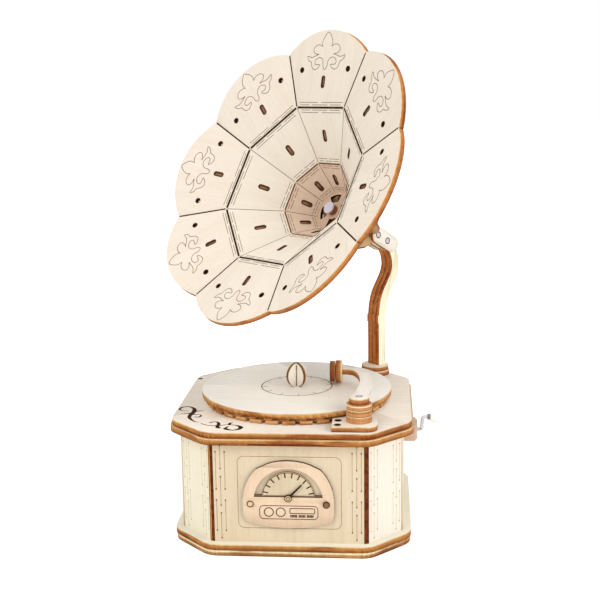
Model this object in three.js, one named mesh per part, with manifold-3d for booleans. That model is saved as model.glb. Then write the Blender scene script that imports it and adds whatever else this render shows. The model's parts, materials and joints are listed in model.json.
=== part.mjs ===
// Disc music box in laser-cut plywood, shaped as a toy gramophone.
// Millimetres, +Z up, the dial faces -Y, the crank is at +X, origin at the middle of the underside.
import * as THREE from 'three';
import { mergeVertices } from 'three/addons/utils/BufferGeometryUtils.js';
import Module from 'manifold-3d';

const wasm = await Module();
wasm.setup();

// Sheet thicknesses
const PLATE_PLY = 3.3;
const WALL_PLY = 3.0;
const LIGHT_PLY = 1.8;
const RING_PLY = 1.9;
const RECORD_PLY = 3.0;
const ARM_PLATE_PLY = 3.0;
const HORN_PLY = 3.0;
const RIB_PLY = 1.8;
const STAND_PLY = 3.0;
const CHEEK_PLY = 2.0;

// Clearances, and how far a cutting tool runs past what it cuts
const TURN_GAP = 0.3;
const LAYER_GAP = 0.15;
const BORE_GAP = 0.3;
const FIT_GAP = 0.1;
const CUT_OVERRUN = 3.0;

// Box: half width over the walls, corner cut of the octagon, lips of the plates beyond the walls
const BOX_HALF = 60.5;
const BOX_CUT = 19.2;
const WALL_HEIGHT = 55.6;
const FOOT_LIP = 3.9;
const FLOOR_LIP = 4.4;
const UNDER_LIP = 5.5;
const DECK_LIP = 4.5;
const PLATE_CORNER = 12.0;

// Where all sides of the octagon move out alike, its cut corners grow by this share of the move
const LIP_SHARE = 2 - Math.SQRT2;

// Fins in the wall corners and the ledges that join them
const FIN_PLY = 2.4;
const FIN_DEPTH = 9.0;
const FIN_INSET = 0.3;
const LEDGE_WIDTH = 7.0;
const LEDGE_GAP = 0.4;

// Dial on the front wall; the outline shares are of its half width and its height
const ESCUTCHEON_HALF = 24.2;
const ESCUTCHEON_HEIGHT = 37.3;
const ESCUTCHEON_LIFT = 8.8;
const ESCUTCHEON_SHARES = [
  [0, 0], [0.33, 0.011], [0.64, 0.042], [0.8, 0.066], [0.89, 0.088], [0.945, 0.115], [0.975, 0.15],
  [0.995, 0.22], [1, 0.32], [1, 0.434],
  [0.967, 0.566], [0.909, 0.672], [0.843, 0.757], [0.777, 0.82], [0.703, 0.873], [0.595, 0.907],
  [0.479, 0.944], [0.347, 0.974], [0.174, 0.995], [0, 1],
];
const WINDOW_LIFT = 18.1;
const WINDOW_RADIUS = 18.4;
const WINDOW_RISE = 15.0;
const SCALE_RADIUS = 13.9;
const SCALE_RISE = 12.9;
const SCALE_PLY = 1.4;
const HUB_DROP = 1.0;
const HUB_RADIUS = 1.9;
const POINTER_LENGTH = 10.4;
const POINTER_WIDTH = 1.1;
const POINTER_PLY = 1.0;
const POINTER_TILT = 44;
const POINTER_PIN_RADIUS = 0.6;
const PEG_X = 20.1;
const PEG_DROP = 4.4;
const PEG_RADIUS = 1.9;
const PEG_STEM_RADIUS = 1.0;
const PEG_PROUD = 1.0;

// Turntable: the record lies inside the deck's edge, and the rings inside the record's
const RING_LIFT = 0.2;
const RECORD_MARGIN = 10.8;
const RING_MARGIN = 2.2;
const RING_TOOTH_DEPTH = 2.8;
const RING_TEETH = 35;
const RING_LOW_TOOTH_SHARE = 0.72;
const RING_LOW_TURN = -90.1;
const RING_HIGH_TOOTH_SHARE = 0.46;
const RING_HIGH_TURN = -92.2;
const SPINDLE_RADIUS = 1.8;
const SPINDLE_TAIL = 1.0;
const KNOB_RADIUS = 7.0;
const KNOB_SINK = 0.4;

// Tone arm: its post stands just clear of the record; the line shares are of its offset and its reach
const ARM_TURN = -54.18;
const ARM_POST_GAP = 2.4;
const ARM_PLATE_LEFT = 14.1;
const ARM_PLATE_RIGHT = 9.7;
const ARM_PLATE_FRONT = 10.6;
const ARM_PLATE_BACK = 7.8;
const ARM_PLATE_CORNER = 5.8;
const ARM_PLATE_CLEAR = 1.0;
const ARM_HOLE_X = 11.1;
const ARM_HOLE_Y = 7.4;
const ARM_HOLE_PITCH = 7.5;
const ARM_HOLE_RADIUS = 1.7;
const POST_RADIUS = 6.8;
const POST_GROOVE_RADIUS = 6.3;
const POST_HEIGHT = 5.6;
const SWIVEL_RADIUS = 6.65;
const SWIVEL_HEIGHT = 4.2;
const SWIVEL_GAP = 0.1;
const ARM_THICKNESS = 3.4;
const ARM_HUB_RADIUS = 5.3;
const ARM_HALF_WIDTH = 3.3;
const ARM_PIN_RADIUS = 1.6;
const ARM_OFFSET = 11.2;
const ARM_REACH = 58.1;
const ARM_LINE_SHARES = [
  [0, 0], [-0.054, 0.11], [-0.144, 0.222], [-0.243, 0.368], [-0.261, 0.506], [-0.207, 0.695],
  [-0.027, 0.85], [0.225, 0.947], [0.55, 0.991], [0.784, 1], [1, 1],
];
const SOUNDBOX_LIFT = 0.5;
const SOUNDBOX_BACK_RADIUS = 6.4;
const SOUNDBOX_FRONT_RADIUS = 6.0;
const SOUNDBOX_BACK_LENGTH = 3.6;
const SOUNDBOX_FRONT_LENGTH = 2.9;
const SOUNDBOX_SPACE = 0.5;
const SOUNDBOX_STEM_RADIUS = 2.4;

// Crank
const CRANK_DROP = 11.7;
const SHAFT_RADIUS = 1.3;
const SHAFT_TAIL = 1.5;
const BOSS_RADIUS = 6.9;
const BOSS_LENGTH = 8.4;
const BOSS_CHAMFER = 1.4;
const WIRE_RADIUS = 1.1;
const WIRE_STAND_OFF = 2.7;
const WIRE_BEND_RADIUS = 2.2;
const WIRE_THROW = 14.6;
const WIRE_TILT = 43;
const COLLAR_SPACE = 0.5;
const COLLAR_LENGTH = 1.5;
const COLLAR_RADIUS = 1.7;
const HANDLE_SPACE = 0.2;
const HANDLE_LENGTH = 5.0;
const HANDLE_RADIUS = 3.1;
const HANDLE_CHAMFER = 0.6;
const HANDLE_BORE_DEPTH = 3.7;

// Gears; tooth shares are of the module
const GEAR_MODULE = 1.0;
const PINION_TEETH = 12;
const CROWN_TEETH = 36;
const DRUM_WHEEL_TEETH = 30;
const TIP_SHARE = 0.9;
const ROOT_SHARE = 1.3;
const TOOTH_ROOT_SHARE = 1.7;
const TOOTH_TIP_SHARE = 0.7;
const CROWN_TIP_SHARE = 0.8;
const CROWN_ROOT_SHARE = 1.5;
const CROWN_FACE = 3.1;
const CROWN_DISC_PLY = 2.5;
const WHEEL_FACE = 3.0;

// Musical movement, along X from the left post to the right one
const BED_PLY = 2.2;
const BED_MARGIN = 4.5;
const BED_POST_LEFT_X = -17.0;
const BED_POST_PLY = 3.0;
const BED_POST_HALF = 5.0;
const BED_POST_OVER = 4.5;
const DRUM_SPACE = 2.5;
const DRUM_MARGIN = 0.4;
const DRUM_RADIUS = 9.5;
const DRUM_PIN_HEIGHT = 0.8;
const DRUM_PIN_SIDE = 0.7;
const DRUM_PIN_ROWS = 20;
const WHEEL_SPACE = 3.5;
const POST_SPACE = 2.5;
const ARBOR_RADIUS = 1.4;
const ARBOR_TAIL = 0.6;
const COMB_TEETH = 18;
const COMB_PITCH = 1.9;
const COMB_SLIT = 0.4;
const COMB_GAP = 0.5;
const COMB_TOOTH_LENGTH = 13.2;
const COMB_BASE = 12.0;
const COMB_THICKNESS = 1.2;
const BRACKET_X = 9.5;
const BRACKET_PLY = 3.0;
const BRACKET_LEG_Y = 12.5;
const BRACKET_LEG_DEPTH = 6.0;
const BRACKET_HALF = 4.2;

// Horn: octagon radii to the corners of its folds, and their depths behind the petal junctions
const HORN_TURN = 43.53;
const HORN_TILT = 28.97;
const HORN_SIDES = 8;
const PETAL_CORNER_RADIUS = 81.73;
const BELL_CORNER_RADIUS = 50.83;
const CONE_CORNER_RADIUS = 24.27;
const THROAT_CORNER_RADIUS = 12.77;
const BELL_DEPTH = 9.63;
const CONE_DEPTH = 31.29;
const THROAT_DEPTH = 46.9;
const PETAL_ARC_RADIUS = 43.5;
const SEAM_HALF_GAP = 0.12;
const SLOT_WIDTH = 2.3;
const SLOT_LENGTH = 6.1;
const PETAL_SLOT = 11.4;
const BELL_SLOT = 13.4;
const CONE_SLOT = 5.1;
const PEG_HOLE_REACH = 21.4;
const PEG_HOLE_SIDE = 18.8;
const PEG_HOLE_RADIUS = 1.4;
const TAB_END_GAP = 0.4;
const THROAT_PLATE_GAP = 0.2;
const THROAT_PLATE_PLY = 2.0;
const THROAT_PLATE_RADIUS = 16.4;
const THROAT_HUB_RADIUS = 3.0;
const THROAT_HUB_PROUD = 4.6;
const THROAT_WINDOWS = 4;
const THROAT_WINDOW_TURN = 15;
const THROAT_WINDOW_SPREAD = 50;
const THROAT_WINDOW_INNER = 5.4;
const THROAT_WINDOW_OUTER = 10.2;

// Ribs behind the staves; the rear line's shares are of the petal radius and of the ribs' depth
const RIB_REACH = 23.0;
const RIB_TAIL = 32.1;
const RIB_WELL_MARGIN = 0.6;
const RIB_WELL = 5.6;
const RIB_HUB_RADIUS = 15.0;
const RIB_HUB_PLY = 2.4;
const RIB_REAR_SHARES = [
  [0.066, 1], [0.117, 0.98], [0.164, 0.944], [0.215, 0.884], [0.294, 0.753], [0.392, 0.601],
  [0.514, 0.449], [0.648, 0.31],
];
const TONGUE_HALF = 3.6;
const TONGUE_ROOT = 9.0;
const TONGUE_END = 7.2;

// Stand, laid out in the upright plane through the horn's axis
const STAND_TURN = 50.8;
const STAND_INSET = 6.58;
const STAND_FOOT_RADIUS = 8.8;
const STAND_STEP = 0.5;
const STAND_FOOT_PLY = 3.0;
const STAND_FOOT_FLAT = 0.3;
const STAND_SPOT = 1.7;
const STAND_HALF_WIDTH = 3.0;
const STAND_SWING = 12.0;
const STAND_LINE_SHARES = [
  [-0.02, 0], [0.196, -0.038], [0.363, -0.071], [0.467, -0.041], [0.562, 0.115], [0.66, 0.513],
  [0.731, 0.765], [0.8, 0.835], [0.887, 0.7], [0.961, 0.37], [1, 0],
];
const HORN_REACH = 75.63;
const HORN_LIFT = 127.26;
const PIN_FRONT_REACH = 34.9;
const PIN_PITCH = 9.0;
const PIN_RADIUS = 1.5;
const HEAD_FRONT = 1.3;
const HEAD_REAR = 7.7;
const HEAD_HALF = 4.2;
const CHEEK_FRONT = 4.6;
const CHEEK_REAR = 10.2;
const CHEEK_HALF = 5.0;
const TENON_HALF = 2.0;
const KNUCKLE_LIFT = 34.8;
const KNUCKLE_HEIGHT = 5.6;
const KNUCKLE_SWELL = 0.7;
const STAND_STEPS = 26;

// Heights of the base stack
const FLOOR_Z = PLATE_PLY;
const WALL_Z = FLOOR_Z + PLATE_PLY;
const UNDER_Z = WALL_Z + WALL_HEIGHT;
const DECK_Z = UNDER_Z + PLATE_PLY;
const DECK_TOP = DECK_Z + PLATE_PLY;
const RING_LOW_Z = DECK_TOP + RING_LIFT;
const RING_HIGH_Z = RING_LOW_Z + RING_PLY;
const RECORD_Z = RING_HIGH_Z + RING_PLY;
const RECORD_TOP = RECORD_Z + RECORD_PLY;

// Sizes of the turntable
const RECORD_RADIUS = BOX_HALF + DECK_LIP - RECORD_MARGIN;
const RING_TIP_RADIUS = RECORD_RADIUS - RING_MARGIN;

// Places of the dial
const ESCUTCHEON_Z = WALL_Z + ESCUTCHEON_LIFT;
const DIAL_Z = ESCUTCHEON_Z + WINDOW_LIFT;
const HUB_Z = DIAL_Z - HUB_DROP;
const PEG_Z = DIAL_Z - PEG_DROP;

// Places of the tone arm
const ARM_DISTANCE = RECORD_RADIUS + ARM_POST_GAP + POST_RADIUS;
const ARM_X = ARM_DISTANCE * Math.cos(ARM_TURN * Math.PI / 180);
const ARM_Y = ARM_DISTANCE * Math.sin(ARM_TURN * Math.PI / 180);
const ARM_PLATE_TOP = DECK_TOP + ARM_PLATE_PLY;
const SWIVEL_Z = ARM_PLATE_TOP + POST_HEIGHT + SWIVEL_GAP;
const ARM_Z = SWIVEL_Z + SWIVEL_HEIGHT;
const SOUNDBOX_Y = ARM_Y + ARM_REACH;
const SOUNDBOX_Z = RECORD_TOP + SOUNDBOX_LIFT + SOUNDBOX_BACK_RADIUS;
const SOUNDBOX_END_X = ARM_X - ARM_OFFSET;
const SOUNDBOX_BACK_X = SOUNDBOX_END_X - SOUNDBOX_BACK_LENGTH;
const SOUNDBOX_FRONT_X = SOUNDBOX_BACK_X - SOUNDBOX_SPACE - SOUNDBOX_FRONT_LENGTH;

// Places of the crank, gears and movement
const CRANK_Z = UNDER_Z - CRANK_DROP;
const WIRE_BEND_X = BOX_HALF + BOSS_LENGTH + WIRE_STAND_OFF;
const COLLAR_X = WIRE_BEND_X + WIRE_BEND_RADIUS + COLLAR_SPACE;
const HANDLE_X = COLLAR_X + COLLAR_LENGTH + HANDLE_SPACE;
const WIRE_END_X = HANDLE_X + HANDLE_BORE_DEPTH - BORE_GAP;
const PINION_PITCH_RADIUS = PINION_TEETH * GEAR_MODULE / 2;
const CROWN_PITCH_RADIUS = CROWN_TEETH * GEAR_MODULE / 2;
const WHEEL_PITCH_RADIUS = DRUM_WHEEL_TEETH * GEAR_MODULE / 2;
const CROWN_INNER_RADIUS = CROWN_PITCH_RADIUS - CROWN_FACE / 2;
const CROWN_OUTER_RADIUS = CROWN_PITCH_RADIUS + CROWN_FACE / 2;
const CROWN_TIP_Z = CRANK_Z + PINION_PITCH_RADIUS - CROWN_TIP_SHARE * GEAR_MODULE;
const CROWN_DISC_Z = CRANK_Z + PINION_PITCH_RADIUS + CROWN_ROOT_SHARE * GEAR_MODULE;
const SPINDLE_FOOT_Z = CROWN_DISC_Z - SPINDLE_TAIL;
const DRUM_Z = CRANK_Z - PINION_PITCH_RADIUS - WHEEL_PITCH_RADIUS;
const DRUM_START_X = BED_POST_LEFT_X + BED_POST_PLY + DRUM_SPACE;
const DRUM_LENGTH = COMB_TEETH * COMB_PITCH + DRUM_MARGIN * 2;
const WHEEL_X = DRUM_START_X + DRUM_LENGTH + WHEEL_SPACE;
const BED_POST_RIGHT_X = WHEEL_X + WHEEL_FACE + POST_SPACE;
const COMB_TIP_Y = -DRUM_RADIUS - DRUM_PIN_HEIGHT - COMB_GAP;
const COMB_ROOT_Y = COMB_TIP_Y - COMB_TOOTH_LENGTH;
const COMB_BACK_Y = COMB_ROOT_Y - COMB_BASE;
const BED_BACK = BRACKET_LEG_Y + BRACKET_LEG_DEPTH;

// Places along the horn's axis, as depths behind the petal junctions
const RIB_FRONT_DEPTH = THROAT_DEPTH + THROAT_PLATE_GAP + THROAT_PLATE_PLY + TURN_GAP;
const RIB_WELL_DEPTH = RIB_FRONT_DEPTH + RIB_WELL;
const RIB_WELL_RADIUS = THROAT_WINDOW_OUTER + RIB_WELL_MARGIN;
const RIB_REAR_DEPTH = THROAT_DEPTH + RIB_TAIL;
const PIN_FRONT = THROAT_DEPTH + PIN_FRONT_REACH;
const PIN_REAR = PIN_FRONT + PIN_PITCH;
const HEAD_START = PIN_FRONT + PIN_RADIUS + HEAD_FRONT;
const HEAD_END = PIN_REAR + HEAD_REAR;
const CHEEK_START = PIN_FRONT - CHEEK_FRONT;
const CHEEK_END = PIN_REAR + CHEEK_REAR;
const CHEEK_INSIDE = STAND_PLY * 3 / 2 + LAYER_GAP + TURN_GAP;

// Places of the stand and the horn; the stand is set in from the deck's cut corner
const DECK_CORNER = (BOX_HALF + DECK_LIP - (BOX_CUT + DECK_LIP * LIP_SHARE) / 2) * Math.SQRT2;
const STAND_DISTANCE = DECK_CORNER - STAND_INSET;
const STAND_X = STAND_DISTANCE * Math.cos(STAND_TURN * Math.PI / 180);
const STAND_Y = STAND_DISTANCE * Math.sin(STAND_TURN * Math.PI / 180);
const STAND_FOOT_TOP = DECK_TOP + STAND_FOOT_PLY * 2;
const KNUCKLE_Z = DECK_TOP + KNUCKLE_LIFT;
const HORN_CENTRE = [
  STAND_X - HORN_REACH * Math.sin(HORN_TURN * Math.PI / 180),
  STAND_Y - HORN_REACH * Math.cos(HORN_TURN * Math.PI / 180),
  DECK_TOP + HORN_LIFT,
];

// Colours of cut ply and of the few metal and turned pieces
const PALE = { color: 0xe9d9b8, roughness: 0.75, metalness: 0 };
const CREAM = { color: 0xeee0c4, roughness: 0.7, metalness: 0 };
const TAN = { color: 0xd9c096, roughness: 0.8, metalness: 0 };
const DARK = { color: 0x4a2a14, roughness: 0.85, metalness: 0 };
const STEEL = { color: 0xb9bcc0, roughness: 0.35, metalness: 0.9 };
const BRASS = { color: 0xc9a44c, roughness: 0.35, metalness: 0.9 };
const BLACKENED = { color: 0x2c2926, roughness: 0.5, metalness: 0.4 };

const group = new THREE.Group();

function piece(name, geometry, finish) {
  const mesh = new THREE.Mesh(geometry, new THREE.MeshStandardMaterial(finish));
  mesh.name = name;
  group.add(mesh);
}

// Small maths
const radians = (degrees) => degrees * Math.PI / 180;
const polar = (radius, angle) => [radius * Math.cos(angle), radius * Math.sin(angle)];

function circle(radius, count, x = 0, y = 0, start = 0) {
  const points = [];
  for (let i = 0; i < count; i += 1) {
    const [dx, dy] = polar(radius, start + i * 2 * Math.PI / count);
    points.push([x + dx, y + dy]);
  }
  return points;
}

function arc(radius, from, to, count, x = 0, y = 0) {
  const points = [];
  for (let i = 0; i <= count; i += 1) {
    const [dx, dy] = polar(radius, from + (to - from) * i / count);
    points.push([x + dx, y + dy]);
  }
  return points;
}

// Octagon at a set distance outside the walls, all eight sides moved alike
function octagon(lip) {
  const half = BOX_HALF + lip;
  const flat = half - BOX_CUT - lip * LIP_SHARE;
  return [
    [half, -flat], [half, flat], [flat, half], [-flat, half],
    [-half, flat], [-half, -flat], [-flat, -half], [flat, -half],
  ];
}

function rectangle(x0, y0, x1, y1) {
  return [[x0, y0], [x1, y0], [x1, y1], [x0, y1]];
}

function capsule(x0, x1, half, count, y = 0) {
  const right = arc(half, -Math.PI / 2, Math.PI / 2, count, x1 - half, y);
  const left = arc(half, Math.PI / 2, Math.PI * 3 / 2, count, x0 + half, y);
  return [...right, ...left];
}

function smooth(points, count) {
  const places = points.map(([x, y]) => new THREE.Vector3(x, y, 0));
  const curve = new THREE.CatmullRomCurve3(places, false, 'centripetal');
  return curve.getSpacedPoints(count).map((p) => [p.x, p.y]);
}

function ribbon(line, half) {
  const left = [];
  const right = [];
  line.forEach(([x, y], i) => {
    const [ax, ay] = line[Math.max(i - 1, 0)];
    const [bx, by] = line[Math.min(i + 1, line.length - 1)];
    const length = Math.hypot(bx - ax, by - ay);
    const nx = -(by - ay) / length * half;
    const ny = (bx - ax) / length * half;
    left.push([x + nx, y + ny]);
    right.unshift([x - nx, y - ny]);
  });
  return [...left, ...right];
}

// Sheet cut to an outline with holes, lying on z = 0
function sheet(outline, holes, thickness) {
  const shape = new THREE.Shape(outline.map(([x, y]) => new THREE.Vector2(x, y)));
  holes.forEach((hole) => shape.holes.push(new THREE.Path(hole.map(([x, y]) => new THREE.Vector2(x, y)))));
  return new THREE.ExtrudeGeometry(shape, { depth: thickness, bevelEnabled: false, steps: 1 });
}

function lifted(geometry, z) {
  return geometry.translate(0, 0, z);
}

// Frames given by two directions and an origin: the sheet's x and y run along them
function framed(geometry, xAxis, yAxis, origin) {
  const x = new THREE.Vector3(...xAxis);
  const y = new THREE.Vector3(...yAxis);
  const z = new THREE.Vector3().crossVectors(x, y);
  const matrix = new THREE.Matrix4().makeBasis(x, y, z).setPosition(...origin);
  return geometry.applyMatrix4(matrix);
}

// Sheets standing across the X axis: outline in (y, z), thickness towards +X
function acrossX(outline, holes, thickness, x) {
  return framed(sheet(outline, holes, thickness), [0, 1, 0], [0, 0, 1], [x, 0, 0]);
}

// Sheets standing across the Y axis: outline in (x, z), thickness towards -Y
function acrossY(outline, holes, thickness, y) {
  return framed(sheet(outline, holes, thickness), [1, 0, 0], [0, 0, 1], [0, y, 0]);
}

// Joining and cutting
function toSolid(geometry) {
  const clean = geometry.clone();
  clean.deleteAttribute('normal');
  clean.deleteAttribute('uv');
  const merged = mergeVertices(clean, 1e-5);
  const vertProperties = Float32Array.from(merged.attributes.position.array);
  const triVerts = Uint32Array.from(merged.index.array);
  return new wasm.Manifold(new wasm.Mesh({ numProp: 3, vertProperties, triVerts }));
}

function toGeometry(solid) {
  const mesh = solid.getMesh();
  const geometry = new THREE.BufferGeometry();
  geometry.setAttribute('position', new THREE.BufferAttribute(Float32Array.from(mesh.vertProperties), 3));
  geometry.setIndex(new THREE.BufferAttribute(Uint32Array.from(mesh.triVerts), 1));
  geometry.computeVertexNormals();
  return geometry;
}

const joined = (geometries) => toGeometry(geometries.map(toSolid).reduce((a, b) => a.add(b)));
const cutSolid = (solid, tools) => tools.map(toSolid).reduce((a, b) => a.subtract(b), solid);
const cut = (geometry, tools) => toGeometry(cutSolid(toSolid(geometry), tools));

// Base plates, their corners rounded
function plateOutline(lip) {
  const corners = octagon(lip);
  const back = PLATE_CORNER / Math.cos(Math.PI / 8);
  return corners.flatMap(([x, y], i) => {
    const d = cornerDirection(corners, i);
    const middle = Math.atan2(d.y, d.x);
    const [from, to] = [middle - Math.PI / 8, middle + Math.PI / 8];
    return arc(PLATE_CORNER, from, to, 4, x - d.x * back, y - d.y * back);
  });
}

function buildPlates() {
  const bore = circle(SPINDLE_RADIUS + BORE_GAP, 24);
  piece('foot_plate', sheet(plateOutline(FOOT_LIP), [], PLATE_PLY), TAN);
  piece('floor_plate', lifted(sheet(plateOutline(FLOOR_LIP), [], PLATE_PLY), FLOOR_Z), PALE);
  piece('under_deck_plate', lifted(sheet(plateOutline(UNDER_LIP), [bore], PLATE_PLY), UNDER_Z), TAN);
  piece('deck_plate', lifted(sheet(plateOutline(DECK_LIP), [bore], PLATE_PLY), DECK_Z), CREAM);
}

// Unit vector from the box's middle through the middle of a wall corner
function cornerDirection(corners, i) {
  const [px, py] = corners[(i + 7) % 8];
  const [x, y] = corners[i];
  const [qx, qy] = corners[(i + 1) % 8];
  const a = new THREE.Vector2(px - x, py - y).normalize();
  const b = new THREE.Vector2(qx - x, qy - y).normalize();
  return a.add(b).normalize().negate();
}

// Point on a wall line at a set distance from the plane of the fin at its corner
function wallEnd(corner, direction, along, inward, reach) {
  const normal = new THREE.Vector2(-direction.y, direction.x);
  const side = Math.sign(along.dot(normal));
  const start = new THREE.Vector2(...corner).addScaledVector(inward.dir, inward.depth);
  const offset = start.clone().sub(new THREE.Vector2(...corner)).dot(normal) * side;
  const step = (reach - offset) / Math.abs(along.dot(normal));
  const point = start.addScaledVector(along, step);
  return [point.x, point.y];
}

function wallOutline(corners, i) {
  const a = corners[i];
  const b = corners[(i + 1) % 8];
  const along = new THREE.Vector2(b[0] - a[0], b[1] - a[1]).normalize();
  const back = along.clone().negate();
  const inDir = new THREE.Vector2(-along.y, along.x);
  const reach = FIN_PLY / 2 + LAYER_GAP;
  const da = cornerDirection(corners, i);
  const db = cornerDirection(corners, (i + 1) % 8);
  const face = { dir: inDir, depth: 0 };
  const rear = { dir: inDir, depth: WALL_PLY };
  return [
    wallEnd(a, da, along, face, reach),
    wallEnd(b, db, back, face, reach),
    wallEnd(b, db, back, rear, reach),
    wallEnd(a, da, along, rear, reach),
  ];
}

const WALL_NAMES = [
  'wall_right', 'wall_back_right', 'wall_back', 'wall_back_left',
  'wall_left', 'wall_front_left', 'wall_front', 'wall_front_right',
];

function buildWalls() {
  const corners = octagon(0);
  const through = WALL_PLY + CUT_OVERRUN * 2;
  WALL_NAMES.forEach((name, i) => {
    let geometry = lifted(sheet(wallOutline(corners, i), [], WALL_HEIGHT), WALL_Z);
    if (name === 'wall_right') {
      const bore = circle(SHAFT_RADIUS + BORE_GAP, 20, 0, CRANK_Z);
      geometry = cut(geometry, [acrossX(bore, [], through, BOX_HALF - WALL_PLY - CUT_OVERRUN)]);
    }
    if (name === 'wall_front') {
      const start = -BOX_HALF + WALL_PLY + CUT_OVERRUN;
      geometry = cut(geometry, dialBores().map((bore) => acrossY(bore, [], through, start)));
    }
    piece(name, geometry, PALE);
  });
}

function dialBores() {
  return [
    circle(PEG_STEM_RADIUS + FIT_GAP, 12, -PEG_X, PEG_Z),
    circle(PEG_STEM_RADIUS + FIT_GAP, 12, PEG_X, PEG_Z),
    circle(POINTER_PIN_RADIUS + BORE_GAP, 16, 0, HUB_Z),
  ];
}

// Fins that show as dark seams at the eight corners, joined by a ledge above and below
function buildCornerFrame() {
  const corners = octagon(0);
  const edge = octagon(-WALL_PLY - LEDGE_GAP);
  const hole = octagon(-WALL_PLY - LEDGE_GAP - LEDGE_WIDTH);
  const parts = [WALL_Z, UNDER_Z - LIGHT_PLY].map((z) => lifted(sheet(edge, [hole], LIGHT_PLY), z));
  corners.forEach((corner, i) => {
    const d = cornerDirection(corners, i);
    const fin = sheet(rectangle(0, 0, FIN_DEPTH, WALL_HEIGHT), [], FIN_PLY);
    const side = [d.y * FIN_PLY / 2, -d.x * FIN_PLY / 2];
    const start = [corner[0] - d.x * (FIN_DEPTH + FIN_INSET), corner[1] - d.y * (FIN_DEPTH + FIN_INSET)];
    const origin = [start[0] - side[0], start[1] - side[1], WALL_Z];
    parts.push(framed(fin, [d.x, d.y, 0], [0, 0, 1], origin));
  });
  piece('corner_frame', joined(parts), DARK);
}

// Dial: escutcheon with a half-moon window, raised scale, pointer and two pegs
function halfMoon(radius, rise, base) {
  const centre = base + rise - radius;
  const start = Math.asin((base - centre) / radius);
  return arc(radius, start, Math.PI - start, 24, 0, centre);
}

function buildDial() {
  const right = ESCUTCHEON_SHARES.map(([x, z]) => [
    x * ESCUTCHEON_HALF, ESCUTCHEON_Z + z * ESCUTCHEON_HEIGHT,
  ]);
  const left = right.slice(1, -1).map(([x, z]) => [-x, z]).reverse();
  const outline = [...right, ...left];
  const face = -BOX_HALF;
  const window = halfMoon(WINDOW_RADIUS, WINDOW_RISE, DIAL_Z);
  piece('dial_escutcheon', acrossY(outline, [window, ...dialBores()], LIGHT_PLY, face), CREAM);
  const scale = halfMoon(SCALE_RADIUS, SCALE_RISE, DIAL_Z + FIT_GAP);
  piece('dial_scale', acrossY(scale, [], SCALE_PLY, face), PALE);
  piece('dial_pointer', buildPointer(face - LIGHT_PLY), DARK);
  piece('dial_peg_left', buildPeg(-PEG_X, face - LIGHT_PLY), BRASS);
  piece('dial_peg_right', buildPeg(PEG_X, face - LIGHT_PLY), BRASS);
}

function buildPointer(face) {
  const half = POINTER_WIDTH / 2;
  const tip = POINTER_LENGTH;
  const needle = sheet([[-half, 0], [half, 0], [half / 2, tip], [-half / 2, tip]], [], POINTER_PLY);
  const tilt = radians(POINTER_TILT);
  const across = [Math.cos(tilt), 0, -Math.sin(tilt)];
  const along = [Math.sin(tilt), 0, Math.cos(tilt)];
  const front = face - FIT_GAP;
  const pinLength = LIGHT_PLY + WALL_PLY;
  return joined([
    framed(needle, across, along, [0, front, HUB_Z]),
    acrossY(circle(HUB_RADIUS, 20, 0, HUB_Z), [], POINTER_PLY + FIT_GAP, front),
    acrossY(circle(POINTER_PIN_RADIUS, 12, 0, HUB_Z), [], pinLength + FIT_GAP, front + pinLength - FIT_GAP),
  ]);
}

function buildPeg(x, face) {
  const stem = LIGHT_PLY + WALL_PLY - FIT_GAP;
  return joined([
    acrossY(circle(PEG_RADIUS, 16, x, PEG_Z), [], PEG_PROUD, face),
    acrossY(circle(PEG_STEM_RADIUS, 12, x, PEG_Z), [], stem + PEG_PROUD / 2, face + stem),
  ]);
}

// Gear outline with straight-sided teeth
function gearOutline(teeth, root, tip, rootWidth, tipWidth, start) {
  const points = [];
  for (let i = 0; i < teeth; i += 1) {
    const middle = start + i * 2 * Math.PI / teeth;
    const r = rootWidth / 2 / root;
    const t = tipWidth / 2 / tip;
    points.push(polar(root, middle - r), polar(tip, middle - t));
    points.push(polar(tip, middle + t), polar(root, middle + r));
  }
  return points;
}

function ringOutline(share, turn) {
  const width = 2 * Math.PI * RING_TIP_RADIUS / RING_TEETH * share;
  const root = RING_TIP_RADIUS - RING_TOOTH_DEPTH;
  return gearOutline(RING_TEETH, root, RING_TIP_RADIUS, width, width, radians(turn));
}

function buildTurntable() {
  const bore = circle(SPINDLE_RADIUS + FIT_GAP, 24);
  const low = ringOutline(RING_LOW_TOOTH_SHARE, RING_LOW_TURN);
  const high = ringOutline(RING_HIGH_TOOTH_SHARE, RING_HIGH_TURN);
  piece('ring_low', lifted(sheet(low, [bore], RING_PLY), RING_LOW_Z), TAN);
  piece('ring_high', lifted(sheet(high, [bore], RING_PLY), RING_HIGH_Z), TAN);
  piece('record', lifted(sheet(circle(RECORD_RADIUS, 80), [bore], RECORD_PLY), RECORD_Z), CREAM);
  const spindle = sheet(circle(SPINDLE_RADIUS, 24), [], RECORD_TOP - SPINDLE_FOOT_Z);
  piece('spindle', lifted(spindle, SPINDLE_FOOT_Z), STEEL);
  buildKnob();
}

// Two round leaves that cross in an X on top of the record
function leafOutline(slotFrom, slotTo) {
  const chord = KNOB_RADIUS - KNOB_SINK;
  const reach = Math.acos(chord / KNOB_RADIUS);
  const rim = arc(KNOB_RADIUS, -Math.PI / 2 + reach, Math.PI * 3 / 2 - reach, 36);
  const slot = (LIGHT_PLY + TURN_GAP) / 2;
  return { rim, slotBox: rectangle(-slot, slotFrom, slot, slotTo) };
}

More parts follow.
